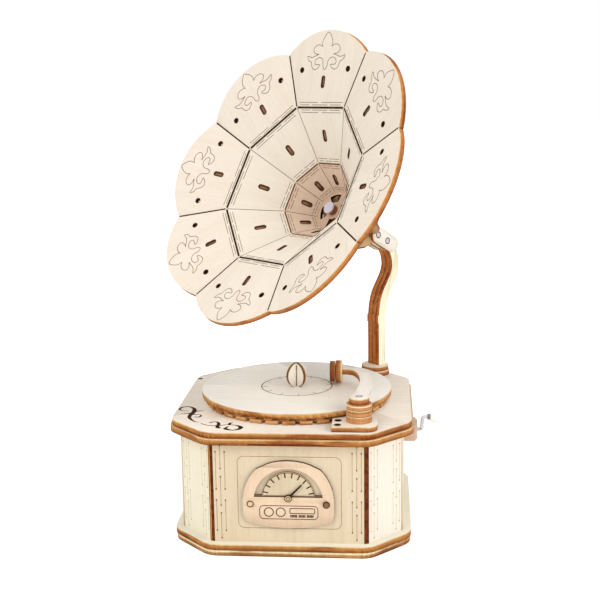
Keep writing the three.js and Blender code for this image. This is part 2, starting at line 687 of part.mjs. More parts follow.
function buildKnob() {
  const centre = RECORD_TOP + KNOB_RADIUS - KNOB_SINK;
  const reach = KNOB_RADIUS * 2;
  const leaves = [['knob_leaf_a', 45, 0, reach], ['knob_leaf_b', -45, -reach, TURN_GAP]];
  leaves.forEach(([name, turn, from, to]) => {
    const { rim, slotBox } = leafOutline(from, to);
    const angle = radians(turn);
    const along = [Math.cos(angle), Math.sin(angle), 0];
    const shift = [Math.sin(angle) * LIGHT_PLY / 2, -Math.cos(angle) * LIGHT_PLY / 2];
    const back = [-shift[0], -shift[1], centre];
    const leaf = framed(sheet(rim, [], LIGHT_PLY), along, [0, 0, 1], back);
    const toolShift = [-shift[0] * 3, -shift[1] * 3, centre];
    const tool = framed(sheet(slotBox, [], LIGHT_PLY * 3), along, [0, 0, 1], toolShift);
    piece(name, cut(leaf, [tool]), CREAM);
  });
}

// Tone arm
function buildArmPlate() {
  const r = ARM_PLATE_CORNER;
  const leftX = ARM_X - ARM_PLATE_LEFT;
  const rightX = ARM_X + ARM_PLATE_RIGHT;
  const frontY = ARM_Y - ARM_PLATE_FRONT;
  const backY = ARM_Y + ARM_PLATE_BACK;
  const front = arc(r, -Math.PI / 2, 0, 6, rightX - r, frontY + r);
  const back = arc(r, 0, Math.PI / 2, 6, rightX - r, backY - r);
  const clear = RING_TIP_RADIUS + ARM_PLATE_CLEAR;
  const hollow = arc(clear, Math.asin(backY / clear), -Math.acos(leftX / clear), 4);
  const outline = [[leftX, frontY], ...front, ...back, ...hollow];
  const holeY = [ARM_Y - ARM_HOLE_Y, ARM_Y - ARM_HOLE_Y + ARM_HOLE_PITCH];
  const holes = holeY.map((y) => circle(ARM_HOLE_RADIUS, 14, ARM_X - ARM_HOLE_X, y));
  piece('arm_plate', lifted(sheet(outline, holes, ARM_PLATE_PLY), DECK_TOP), CREAM);
}

// Three small discs in a stack, a little narrower where they meet
function discStack(radius, groove, height, z) {
  const bore = ARM_PIN_RADIUS + FIT_GAP;
  const layer = height / 3;
  const half = LAYER_GAP / 2;
  const profile = [new THREE.Vector2(bore, 0), new THREE.Vector2(radius, 0)];
  for (let i = 1; i < 3; i += 1) {
    const low = i * layer - half;
    const high = i * layer + half;
    const points = [[radius, low], [groove, low], [groove, high], [radius, high]];
    points.forEach(([r, h]) => profile.push(new THREE.Vector2(r, h)));
  }
  [[radius, height], [bore, height], [bore, 0]].forEach(([r, h]) => profile.push(new THREE.Vector2(r, h)));
  const geometry = new THREE.LatheGeometry(profile, 28);
  return geometry.rotateX(Math.PI / 2).translate(ARM_X, ARM_Y, z);
}

function buildArm() {
  buildArmPlate();
  piece('arm_post', discStack(POST_RADIUS, POST_GROOVE_RADIUS, POST_HEIGHT, ARM_PLATE_TOP), TAN);
  piece('arm_swivel', discStack(SWIVEL_RADIUS, POST_GROOVE_RADIUS, SWIVEL_HEIGHT, SWIVEL_Z), TAN);
  const pinLength = ARM_Z + ARM_THICKNESS - ARM_PLATE_TOP;
  const pin = sheet(circle(ARM_PIN_RADIUS, 18, ARM_X, ARM_Y), [], pinLength);
  piece('arm_pin', lifted(pin, ARM_PLATE_TOP), BLACKENED);
  const line = ARM_LINE_SHARES.map(([x, y]) => [ARM_X - x * ARM_OFFSET, ARM_Y + y * ARM_REACH]);
  const strip = lifted(sheet(ribbon(smooth(line, 22), ARM_HALF_WIDTH), [], ARM_THICKNESS), ARM_Z);
  const hub = lifted(sheet(circle(ARM_HUB_RADIUS, 28, ARM_X, ARM_Y), [], ARM_THICKNESS), ARM_Z);
  const high = ARM_THICKNESS + CUT_OVERRUN * 2;
  const through = sheet(circle(ARM_PIN_RADIUS + FIT_GAP, 18, ARM_X, ARM_Y), [], high);
  const side = ARM_HALF_WIDTH + CUT_OVERRUN;
  const end = rectangle(SOUNDBOX_BACK_X, SOUNDBOX_Y - side, SOUNDBOX_END_X + FIT_GAP, SOUNDBOX_Y + side);
  const tools = [through, sheet(end, [], high)].map((tool) => lifted(tool, ARM_Z - CUT_OVERRUN));
  piece('tone_arm', toGeometry(cutSolid(toSolid(strip).add(toSolid(hub)), tools)), CREAM);
  buildSoundbox();
}

function buildSoundbox() {
  const disc = (radius, count) => circle(radius, count, SOUNDBOX_Y, SOUNDBOX_Z);
  const back = acrossX(disc(SOUNDBOX_BACK_RADIUS, 36), [], SOUNDBOX_BACK_LENGTH, SOUNDBOX_BACK_X);
  const front = acrossX(disc(SOUNDBOX_FRONT_RADIUS, 36), [], SOUNDBOX_FRONT_LENGTH, SOUNDBOX_FRONT_X);
  const frontEnd = SOUNDBOX_FRONT_X + SOUNDBOX_FRONT_LENGTH;
  const stemLength = SOUNDBOX_BACK_X - frontEnd + FIT_GAP;
  const stem = acrossX(disc(SOUNDBOX_STEM_RADIUS, 20), [], stemLength, frontEnd - FIT_GAP);
  piece('soundbox_back', back, TAN);
  piece('soundbox_front', joined([front, stem]), TAN);
}

// Crank: shaft, bent wire, collar and loose handle
function buildCrank() {
  const bossProfile = [
    [SHAFT_RADIUS + BORE_GAP, 0], [BOSS_RADIUS, 0], [BOSS_RADIUS, BOSS_LENGTH - BOSS_CHAMFER],
    [BOSS_RADIUS - BOSS_CHAMFER, BOSS_LENGTH], [SHAFT_RADIUS + BORE_GAP, BOSS_LENGTH],
  ];
  piece('crank_boss', turned(bossProfile, 32, BOX_HALF, 0, CRANK_Z), TAN);
  piece('crank_wire', buildWire(), STEEL);
  const tilt = radians(WIRE_TILT);
  const y = -Math.sin(tilt) * WIRE_THROW;
  const z = CRANK_Z + Math.cos(tilt) * WIRE_THROW;
  const collarProfile = tube(WIRE_RADIUS + FIT_GAP, COLLAR_RADIUS, COLLAR_LENGTH);
  piece('crank_collar', turned(collarProfile, 20, COLLAR_X, y, z), BLACKENED);
  piece('crank_handle', turned(handleProfile(), 28, HANDLE_X, y, z), PALE);
}

function tube(inner, outer, length) {
  return [[inner, 0], [outer, 0], [outer, length], [inner, length]];
}

function handleProfile() {
  const bore = WIRE_RADIUS + BORE_GAP;
  const depth = HANDLE_BORE_DEPTH;
  const r = HANDLE_RADIUS;
  const l = HANDLE_LENGTH;
  const edge = HANDLE_CHAMFER;
  return [
    [bore, 0], [r - edge, 0], [r, edge], [r, l - edge], [r - edge, l], [0, l], [0, depth], [bore, depth],
  ];
}

// Lathe profile in (radius, along) turned about the X direction; an open bore closes on itself
function turned(profile, segments, x, y, z) {
  const ring = profile.every(([r]) => r > 0);
  const closed = ring ? [...profile, profile[0]] : closedOnAxis(profile);
  const geometry = new THREE.LatheGeometry(closed.map(([r, a]) => new THREE.Vector2(r, a)), segments);
  return geometry.applyMatrix4(new THREE.Matrix4().makeBasis(
    new THREE.Vector3(0, 1, 0), new THREE.Vector3(1, 0, 0), new THREE.Vector3(0, 0, -1),
  ).setPosition(x, y, z));
}

// A profile that touches the axis is turned round so that it starts and ends there
function closedOnAxis(profile) {
  const first = profile.findIndex(([r]) => r === 0);
  const loop = [...profile.slice(first + 1), ...profile.slice(0, first + 1)];
  return loop;
}

function buildWire() {
  const tilt = radians(WIRE_TILT);
  const arm = new THREE.Vector3(0, -Math.sin(tilt), Math.cos(tilt));
  const start = new THREE.Vector3(WIRE_BEND_X - WIRE_BEND_RADIUS - SHAFT_RADIUS, 0, CRANK_Z);
  const corner = new THREE.Vector3(WIRE_BEND_X, 0, CRANK_Z);
  const top = corner.clone().addScaledVector(arm, WIRE_THROW);
  const along = new THREE.Vector3(1, 0, 0);
  const end = top.clone().setX(WIRE_END_X);
  const bend = WIRE_BEND_RADIUS;
  const path = new THREE.CurvePath();
  const a = corner.clone().addScaledVector(along, -bend);
  const b = corner.clone().addScaledVector(arm, bend);
  const c = top.clone().addScaledVector(arm, -bend);
  const d = top.clone().addScaledVector(along, bend);
  path.add(new THREE.LineCurve3(start, a));
  path.add(new THREE.QuadraticBezierCurve3(a, corner, b));
  path.add(new THREE.LineCurve3(b, c));
  path.add(new THREE.QuadraticBezierCurve3(c, top, d));
  path.add(new THREE.LineCurve3(d, end));
  const section = new THREE.Shape(circle(WIRE_RADIUS, 8).map(([x, y]) => new THREE.Vector2(x, y)));
  const wire = new THREE.ExtrudeGeometry(section, { steps: 22, bevelEnabled: false, extrudePath: path });
  const innerX = BRACKET_X - SHAFT_TAIL;
  const shaft = acrossX(circle(SHAFT_RADIUS, 20, 0, CRANK_Z), [], start.x + SHAFT_RADIUS - innerX, innerX);
  return joined([shaft, wire]);
}

// Outline of a spur gear with its tooth sizes taken from the module
function spurOutline(teeth, middleZ) {
  const pitch = teeth * GEAR_MODULE / 2;
  const root = pitch - ROOT_SHARE * GEAR_MODULE;
  const tip = pitch + TIP_SHARE * GEAR_MODULE;
  const rootWidth = TOOTH_ROOT_SHARE * GEAR_MODULE;
  const tipWidth = TOOTH_TIP_SHARE * GEAR_MODULE;
  return gearOutline(teeth, root, tip, rootWidth, tipWidth, 0).map(([y, z]) => [y, z + middleZ]);
}

// Long pinion on the crank and the crown wheel under the deck
function buildGears() {
  const bore = circle(SHAFT_RADIUS + FIT_GAP, 20, 0, CRANK_Z);
  const start = CROWN_INNER_RADIUS + TURN_GAP;
  const length = WHEEL_X + WHEEL_FACE - start;
  piece('crank_pinion', acrossX(spurOutline(PINION_TEETH, CRANK_Z), [bore], length, start), BRASS);
  piece('crown_wheel', buildCrownWheel(), BRASS);
}

function buildCrownWheel() {
  const bore = circle(SPINDLE_RADIUS + FIT_GAP, 24);
  const parts = [lifted(sheet(circle(CROWN_OUTER_RADIUS, 36), [bore], CROWN_DISC_PLY), CROWN_DISC_Z)];
  const half = TOOTH_ROOT_SHARE * GEAR_MODULE / 2;
  const tip = TOOTH_TIP_SHARE * GEAR_MODULE / 2;
  const face = CROWN_FACE - FIT_GAP;
  const base = CROWN_DISC_Z + CROWN_DISC_PLY / 2;
  const profile = [
    [-half, base], [-half, CROWN_DISC_Z], [-tip, CROWN_TIP_Z],
    [tip, CROWN_TIP_Z], [half, CROWN_DISC_Z], [half, base],
  ];
  for (let i = 0; i < CROWN_TEETH; i += 1) {
    const tooth = acrossX(profile, [], face, CROWN_INNER_RADIUS);
    parts.push(tooth.rotateZ((i + 1 / 2) * 2 * Math.PI / CROWN_TEETH));
  }
  return joined(parts);
}

// Musical movement: bed, comb, pinned drum and its wheel, bracket for the inner end of the crank
function buildMovement() {
  const low = WALL_Z + BED_PLY / 2;
  const arborBore = circle(ARBOR_RADIUS + BORE_GAP, 20, 0, DRUM_Z);
  const shaftBore = circle(SHAFT_RADIUS + BORE_GAP, 20, 0, CRANK_Z);
  const half = BED_POST_HALF;
  const leftTop = DRUM_Z + BED_POST_OVER;
  const rightTop = CRANK_Z + BED_POST_OVER;
  const combZ = DRUM_Z - COMB_THICKNESS / 2;
  const combHalf = COMB_TEETH * COMB_PITCH / 2;
  const middle = DRUM_START_X + DRUM_LENGTH / 2;
  const block = rectangle(middle - combHalf, COMB_BACK_Y, middle + combHalf, COMB_ROOT_Y - COMB_SLIT);
  const bedLeft = BED_POST_LEFT_X - BED_MARGIN;
  const bedRight = BED_POST_RIGHT_X + BED_POST_PLY + BED_MARGIN;
  const bed = rectangle(bedLeft, COMB_BACK_Y - BED_PLY, bedRight, BED_BACK);
  piece('movement_bed', joined([
    lifted(sheet(bed, [], BED_PLY), WALL_Z),
    acrossX(rectangle(-half, low, half, leftTop), [arborBore], BED_POST_PLY, BED_POST_LEFT_X),
    acrossX(rectangle(-half, low, half, rightTop), [arborBore, shaftBore], BED_POST_PLY, BED_POST_RIGHT_X),
    lifted(sheet(block, [], combZ - low), low),
    buildBracket(low),
  ]), BRASS);
  piece('comb', lifted(sheet(combOutline(middle - combHalf), [], COMB_THICKNESS), combZ), STEEL);
  piece('drum', buildDrum(middle - combHalf), BRASS);
  buildDrumWheel();
}

function combOutline(left) {
  const points = [[left, COMB_BACK_Y], [left + COMB_TEETH * COMB_PITCH, COMB_BACK_Y]];
  const slit = COMB_SLIT / 2;
  for (let i = COMB_TEETH - 1; i >= 0; i -= 1) {
    const a = left + i * COMB_PITCH;
    const b = a + COMB_PITCH;
    points.push([b - slit, COMB_ROOT_Y], [b - slit, COMB_TIP_Y]);
    points.push([a + slit, COMB_TIP_Y], [a + slit, COMB_ROOT_Y]);
  }
  return points;
}

function buildDrum(left) {
  const arborStart = BED_POST_LEFT_X - ARBOR_TAIL;
  const arborEnd = BED_POST_RIGHT_X + BED_POST_PLY + ARBOR_TAIL;
  const parts = [
    acrossX(circle(DRUM_RADIUS, 48, 0, DRUM_Z), [], DRUM_LENGTH, DRUM_START_X),
    acrossX(circle(ARBOR_RADIUS, 20, 0, DRUM_Z), [], arborEnd - arborStart, arborStart),
  ];
  for (let i = 0; i < DRUM_PIN_ROWS; i += 1) {
    const x = left + ((i * 7) % COMB_TEETH + 1 / 2) * COMB_PITCH;
    const side = DRUM_PIN_SIDE / 2;
    const pin = sheet(rectangle(-side, -side, side, side), [], DRUM_PIN_HEIGHT * 2);
    pin.translate(0, 0, DRUM_RADIUS - DRUM_PIN_HEIGHT);
    pin.rotateX(i * 2 * Math.PI / DRUM_PIN_ROWS);
    parts.push(pin.translate(x, 0, DRUM_Z));
  }
  return joined(parts);
}

function buildDrumWheel() {
  const bore = circle(ARBOR_RADIUS + FIT_GAP, 20, 0, DRUM_Z);
  piece('drum_wheel', acrossX(spurOutline(DRUM_WHEEL_TEETH, DRUM_Z), [bore], WHEEL_FACE, WHEEL_X), BRASS);
}

// Bent bracket that carries the inner end of the crank shaft
function buildBracket(low) {
  const top = CRANK_Z + BRACKET_HALF;
  const under = CRANK_Z - BRACKET_HALF;
  const outline = [
    [BRACKET_LEG_Y, low], [BED_BACK, low], [BED_BACK, top], [-BRACKET_HALF, top],
    [-BRACKET_HALF, under], [BRACKET_LEG_Y, under],
  ];
  const bore = circle(SHAFT_RADIUS + BORE_GAP, 20, 0, CRANK_Z);
  return acrossX(outline, [bore], BRACKET_PLY, BRACKET_X);
}

// Horn frame: x to the viewer's right of the mouth, y up across it, z out of the mouth
function hornMatrix() {
  const turn = radians(HORN_TURN);
  const rise = radians(HORN_TILT);
  const level = Math.cos(rise);
  const out = new THREE.Vector3(-Math.sin(turn) * level, -Math.cos(turn) * level, Math.sin(rise));
  const right = new THREE.Vector3().crossVectors(new THREE.Vector3(0, 0, 1), out).normalize();
  const up = new THREE.Vector3().crossVectors(out, right);
  return new THREE.Matrix4().makeBasis(right, up, out).setPosition(...HORN_CENTRE);
}

const SECTOR = Math.PI / HORN_SIDES;

// Front faces of a stave as (distance from the axis, depth behind the junctions), throat first
function staveLine() {
  const k = Math.cos(SECTOR);
  const throat = [THROAT_CORNER_RADIUS * k, THROAT_DEPTH];
  const cone = [CONE_CORNER_RADIUS * k, CONE_DEPTH];
  const bell = [BELL_CORNER_RADIUS * k, BELL_DEPTH];
  const junction = [PETAL_CORNER_RADIUS * k, 0];
  return [throat, cone, bell, stepFrom(bell, junction, PETAL_ARC_RADIUS)];
}

function stepFrom(a, b, reach, side = 0) {
  const length = Math.hypot(b[0] - a[0], b[1] - a[1]);
  const ux = (b[0] - a[0]) / length;
  const uy = (b[1] - a[1]) / length;
  return [a[0] + ux * reach - uy * side, a[1] + uy * reach + ux * side];
}

// The same line moved back by a set depth, with mitred folds
function lineBehind(line, depth) {
  const last = line.length - 1;
  return line.map((point, i) => {
    if (i === 0) {
      const length = Math.hypot(line[1][0] - point[0], line[1][1] - point[1]);
      return [point[0] + depth * length / (point[1] - line[1][1]), point[1]];
    }
    if (i === last) {
      const [bx, by] = stepFrom(line[last - 1], point, 0, depth);
      return [bx + point[0] - line[last - 1][0], by + point[1] - line[last - 1][1]];
    }
    return mitre(line[i - 1], point, line[i + 1], depth);
  });
}

function mitre(a, b, c, depth) {
  const before = Math.atan2(b[1] - a[1], b[0] - a[0]);
  const after = Math.atan2(c[1] - b[1], c[0] - b[0]);
  const middle = (before + after) / 2 + Math.PI / 2;
  const reach = depth / Math.cos((after - before) / 2);
  return [b[0] + reach * Math.cos(middle), b[1] + reach * Math.sin(middle)];
}

// Outline in (distance, depth) drawn as a sheet across the sector's middle plane, half each side
function sectorSheet(outline, width) {
  const geometry = sheet(outline, [], width);
  return framed(geometry, [0, 1, 0], [0, 0, -1], [width / 2, 0, 0]);
}

function turnedSector(geometry, k) {
  return geometry.rotateZ(-k * 2 * SECTOR);
}

// Box that lies through one panel: start along the panel, width across, centred on the middle plane
function slotTool(a, b, start, length, width) {
  const low = stepFrom(a, b, start, -CUT_OVERRUN);
  const lowEnd = stepFrom(a, b, start + length, -CUT_OVERRUN);
  const high = stepFrom(a, b, start, HORN_PLY + CUT_OVERRUN);
  const highEnd = stepFrom(a, b, start + length, HORN_PLY + CUT_OVERRUN);
  return sectorSheet([low, lowEnd, highEnd, high], width);
}

// Cylinder across the petal, centred at a reach along it and a distance to the side
function petalDrill(a, b, reach, side, radius, count) {
  const [startR, startDepth] = stepFrom(a, b, reach, -CUT_OVERRUN * 2);
  const [ur, ud] = stepFrom([0, 0], [b[0] - a[0], b[1] - a[1]], 1);
  const drill = sheet(circle(radius, count), [], HORN_PLY + CUT_OVERRUN * 4);
  return framed(drill, [1, 0, 0], [0, -ur, ud], [side, startR, -startDepth]);
}

function buildStave(k) {
  const front = staveLine();
  const back = lineBehind(front, HORN_PLY);
  const profile = [...front, ...[...back].reverse()];
  const [throat, cone, bell, tip] = front;
  const reach = PETAL_CORNER_RADIUS * 2;
  const half = Math.tan(SECTOR) * reach;
  const start = SEAM_HALF_GAP / Math.sin(SECTOR);
  const end = start + reach;
  const wedge = sheet([[0, start], [half, end], [-half, end]], [], reach * 2).translate(0, 0, -reach);
  const blank = toSolid(sectorSheet(profile, half * 2)).intersect(toSolid(wedge));
  const slots = [
    slotTool(bell, tip, PETAL_SLOT, SLOT_LENGTH, SLOT_WIDTH),
    slotTool(cone, bell, BELL_SLOT, SLOT_LENGTH, SLOT_WIDTH),
    slotTool(throat, cone, CONE_SLOT, SLOT_LENGTH, SLOT_WIDTH),
  ];
  const holes = [-PEG_HOLE_SIDE, PEG_HOLE_SIDE].map((side) => (
    petalDrill(bell, tip, PEG_HOLE_REACH, side, PEG_HOLE_RADIUS, 12)
  ));
  const arcSolid = toSolid(petalDrill(bell, tip, 0, 0, PETAL_ARC_RADIUS, 64));
  const outerBox = toSolid(slotTool(bell, tip, PETAL_ARC_RADIUS / 2, PETAL_ARC_RADIUS, half * 2));
  const rounded = blank.subtract(outerBox.subtract(arcSolid));
  const geometry = toGeometry(cutSolid(rounded, [...slots, ...holes]));
  piece(`horn_stave_${k + 1}`, turnedSector(geometry, k).applyMatrix4(hornMatrix()), CREAM);
}

// Ribs behind the staves, with tabs through the slots and a tongue that the stand grips
function ribOutline() {
  const front = staveLine();
  const back = lineBehind(front, HORN_PLY + TURN_GAP);
  const end = stepFrom(back[2], back[3], RIB_REACH);
  const rear = RIB_REAR_SHARES.map(([r, d]) => [r * PETAL_CORNER_RADIUS, d * RIB_REAR_DEPTH]);
  return [
    [0, RIB_WELL_DEPTH], [RIB_WELL_RADIUS, RIB_WELL_DEPTH], [RIB_WELL_RADIUS, RIB_FRONT_DEPTH],
    [back[0][0], RIB_FRONT_DEPTH], back[1], back[2], end,
    ...rear.reverse(), [0, RIB_REAR_DEPTH],
  ];
}

function ribTab(a, b, start) {
  const gap = TURN_GAP;
  const near = stepFrom(a, b, start + gap, TAB_END_GAP);
  const far = stepFrom(a, b, start + SLOT_LENGTH - gap, TAB_END_GAP);
  const farBack = stepFrom(a, b, start + SLOT_LENGTH - gap, HORN_PLY * 2);
  const nearBack = stepFrom(a, b, start + gap, HORN_PLY * 2);
  return sectorSheet([near, far, farBack, nearBack], SLOT_WIDTH - TURN_GAP * 2);
}

// Notches that let the ribs pass the two cheeks of the stand
function cheekNotches() {
  const outline = capsule(CHEEK_START - TURN_GAP, CHEEK_END, CHEEK_HALF + TURN_GAP, 8);
  const inside = CHEEK_INSIDE - TURN_GAP;
  const width = CHEEK_PLY + TURN_GAP * 2;
  const notch = (x) => framed(sheet(outline, [], width), [0, 0, -1], [0, 1, 0], [x, 0, 0]);
  return [notch(-inside - width), notch(inside)];
}

function buildRibs() {
  const [throat, cone, bell, tip] = staveLine();
  let ribs = null;
  for (let k = 0; k < HORN_SIDES; k += 1) {
    const parts = [
      sectorSheet(ribOutline(), RIB_PLY),
      ribTab(bell, tip, PETAL_SLOT),
      ribTab(cone, bell, BELL_SLOT),
      ribTab(throat, cone, CONE_SLOT),
    ];
    const rib = parts.map((part) => toSolid(turnedSector(part, k))).reduce((a, b) => a.add(b));
    ribs = ribs ? ribs.add(rib) : rib;
  }
  const tongue = rectangle(-TONGUE_HALF, RIB_REAR_DEPTH - TONGUE_ROOT, TONGUE_HALF, PIN_REAR + TONGUE_END);
  const holes = [PIN_FRONT, PIN_REAR].map((depth) => circle(PIN_RADIUS + FIT_GAP, 16, 0, depth));
  const plate = framed(sheet(tongue, holes, RIB_PLY), [0, 1, 0], [0, 0, -1], [RIB_PLY / 2, 0, 0]);
  const hub = lifted(sheet(circle(RIB_HUB_RADIUS, 32), [], RIB_HUB_PLY), -RIB_WELL_DEPTH - RIB_HUB_PLY);
  ribs = cutSolid(ribs.add(toSolid(plate)).add(toSolid(hub)), cheekNotches());
  piece('horn_ribs', toGeometry(ribs).applyMatrix4(hornMatrix()), TAN);
}

// Plate that closes the throat, with windows round a hub that stands proud of it
function buildThroatPlate() {
  const windows = [];
  const half = radians(THROAT_WINDOW_SPREAD) / 2;
  for (let k = 0; k < THROAT_WINDOWS; k += 1) {
    const middle = radians(THROAT_WINDOW_TURN) + k * 2 * Math.PI / THROAT_WINDOWS;
    const near = arc(THROAT_WINDOW_INNER, middle - half, middle + half, 3);
    const far = arc(THROAT_WINDOW_OUTER, middle + half, middle - half, 4);
    windows.push([...near, ...far]);
  }
  const depth = THROAT_DEPTH + THROAT_PLATE_GAP + THROAT_PLATE_PLY;
  const outline = circle(THROAT_PLATE_RADIUS, HORN_SIDES, 0, 0, SECTOR);
  const plate = sheet(outline, windows, THROAT_PLATE_PLY);
  const hub = sheet(circle(THROAT_HUB_RADIUS, 24), [], THROAT_PLATE_PLY + THROAT_HUB_PROUD);
  const geometry = joined([plate, hub]).translate(0, 0, -depth);
  piece('throat_plate', geometry.applyMatrix4(hornMatrix()), PALE);
}

// Upright plane through the horn's axis: first axis level, away from the mouth, second up
function standFrame(geometry, offset) {
  const turn = radians(HORN_TURN);
  const along = [Math.sin(turn), Math.cos(turn), 0];
  const side = [-Math.cos(turn) * offset, Math.sin(turn) * offset];
  return framed(geometry, along, [0, 0, 1], [STAND_X + side[0], STAND_Y + side[1], 0]);
}

// Point in the stand's plane from a place by the horn's axis: depth behind the junctions, height over it
function axisPoint(depth, height) {
  const rise = radians(HORN_TILT);
  const level = depth * Math.cos(rise) + height * Math.sin(rise) - HORN_REACH;
  return [level, HORN_CENTRE[2] - depth * Math.sin(rise) + height * Math.cos(rise)];
}

function axisOutline(points) {
  return points.map(([depth, height]) => axisPoint(depth, height));
}

function pinHoles(radius) {
  return [PIN_FRONT, PIN_REAR].map((depth) => axisOutline(circle(radius, 16, depth, 0)));
}

// Centre line of the stand, from its foot to the rear pin of the horn's tail
function standLine() {
  const [endP, endZ] = axisPoint(PIN_REAR, 0);
  return STAND_LINE_SHARES.map(([height, swing]) => [
    STAND_SPOT + (endP - STAND_SPOT) * height + swing * STAND_SWING,
    STAND_FOOT_TOP + (endZ - STAND_FOOT_TOP) * height,
  ]);
}

// Place of the stand's centre line at a height
function standSpot(z) {
  const line = smooth(standLine(), STAND_STEPS);
  const next = line.findIndex(([, height]) => height >= z);
  const [p, low] = line[next - 1];
  const [q, high] = line[next];
  return p + (q - p) * (z - low) / (high - low);
}

// Small swelling on the front edge of the stand
function knuckleOutline() {
  const spot = standSpot(KNUCKLE_Z);
  const face = spot - STAND_HALF_WIDTH;
  const low = KNUCKLE_Z - KNUCKLE_HEIGHT / 2;
  const high = KNUCKLE_Z + KNUCKLE_HEIGHT / 2;
  return [
    [face, low], [spot, low], [spot, high], [face, high],
    [face - KNUCKLE_SWELL, high - KNUCKLE_SWELL], [face - KNUCKLE_SWELL, low + KNUCKLE_SWELL],
  ];
}

function standLayer(offset, extras, tools) {
  const half = STAND_HALF_WIDTH * 2;
  const ground = rectangle(STAND_SPOT - half, DECK_TOP, STAND_SPOT + half, STAND_FOOT_TOP);
  const through = [...pinHoles(PIN_RADIUS + FIT_GAP), ground].map((outline) => (
    standFrame(sheet(outline, [], STAND_PLY + CUT_OVERRUN * 2), offset + CUT_OVERRUN)
  ));
  const solids = (outlines) => outlines.map((outline) => (
    toSolid(standFrame(sheet(outline, [], STAND_PLY), offset))
  ));
  const body = solids([
    ribbon(smooth(standLine(), STAND_STEPS), STAND_HALF_WIDTH),
    axisOutline(capsule(HEAD_START, HEAD_END, HEAD_HALF, 8)),
    knuckleOutline(),
  ]).reduce((a, b) => a.add(b));
  const cutBody = cutSolid(body, [...through, ...tools]);
  return toGeometry(solids(extras).reduce((a, b) => a.add(b), cutBody));
}

function buildStand() {
  const pitch = STAND_PLY + LAYER_GAP;
  const half = STAND_PLY / 2;
  const tenon = rectangle(
    STAND_SPOT - TENON_HALF, DECK_TOP + FIT_GAP, STAND_SPOT + TENON_HALF, STAND_FOOT_TOP + STAND_PLY,
  );
  const reach = HEAD_END - HEAD_START;
  const mouth = rectangle(HEAD_START - reach, -HEAD_HALF - TURN_GAP, HEAD_END + reach, HEAD_HALF * 3);
  const mouthSheet = sheet(axisOutline(mouth), [], STAND_PLY + CUT_OVERRUN * 2);
  const mouthTool = standFrame(mouthSheet, half + CUT_OVERRUN);
  piece('stand_left', standLayer(half - pitch, [], []), TAN);
  piece('stand_core', standLayer(half, [tenon], [mouthTool]), TAN);
  piece('stand_right', standLayer(half + pitch, [], []), TAN);
  buildCheeks();
  buildStandFoot();
}

function buildCheeks() {
  const outline = axisOutline(capsule(CHEEK_START, CHEEK_END, CHEEK_HALF, 8));
  const holes = pinHoles(PIN_RADIUS + FIT_GAP);
  const reach = CHEEK_INSIDE + CHEEK_PLY;
  piece('cheek_left', standFrame(sheet(outline, holes, CHEEK_PLY), -CHEEK_INSIDE), CREAM);
  piece('cheek_right', standFrame(sheet(outline, holes, CHEEK_PLY), reach), CREAM);
  pinHoles(PIN_RADIUS).forEach((outlinePin, i) => {
    const pin = sheet(outlinePin, [], reach * 2);
    piece(i === 0 ? 'cheek_pin_front' : 'cheek_pin_rear', standFrame(pin, reach), BRASS);
  });
}

// Two round layers at the foot, cut flat along the deck's corner, with a slot for the core's tenon
function buildStandFoot() {
  const limit = DECK_CORNER - STAND_FOOT_FLAT;
  const reach = STAND_FOOT_RADIUS * 4;
  const high = STAND_FOOT_PLY * 2 + CUT_OVERRUN * 2;
  const middle = (STAND_Y - STAND_X) / 2;
  const trim = sheet(rectangle(limit, -reach, limit + reach, reach), [], high);
  trim.rotateZ(Math.PI / 4).translate(-middle, middle, DECK_TOP - CUT_OVERRUN);
  const half = TENON_HALF + TURN_GAP;
  const side = STAND_PLY / 2 + TURN_GAP;
  const top = STAND_FOOT_TOP + CUT_OVERRUN;
  const slot = rectangle(STAND_SPOT - half, DECK_TOP - CUT_OVERRUN, STAND_SPOT + half, top);
  const slotBox = standFrame(sheet(slot, [], side * 2), side);
  ['stand_foot_low', 'stand_foot_high'].forEach((name, i) => {
    const edge = circle(STAND_FOOT_RADIUS - i * STAND_STEP, 40, STAND_X, STAND_Y);
    const disc = sheet(edge, [], STAND_FOOT_PLY);
    piece(name, cut(lifted(disc, DECK_TOP + i * STAND_FOOT_PLY), [trim, slotBox]), TAN);
  });
}

buildPlates();
buildWalls();
buildCornerFrame();
buildDial();
buildTurntable();
buildArm();
buildCrank();
buildGears();
buildMovement();
for (let k = 0; k < HORN_SIDES; k += 1) {
  buildStave(k);
}
buildRibs();
buildThroatPlate();
buildStand();

export default group;
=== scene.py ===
"""Looks of a disc music box in cut plywood: case, dial, turntable, tone arm, crank, horn and stand.

Sizes are in millimetres in the classes and become metres where a mesh is made.
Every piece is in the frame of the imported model: +Z up, dial towards -Y, crank towards +X.
"""

from __future__ import annotations

import json
import logging
import math
from dataclasses import dataclass, field
from enum import Enum

import bmesh
import bpy
import numpy as np
from mathutils import Matrix, Vector

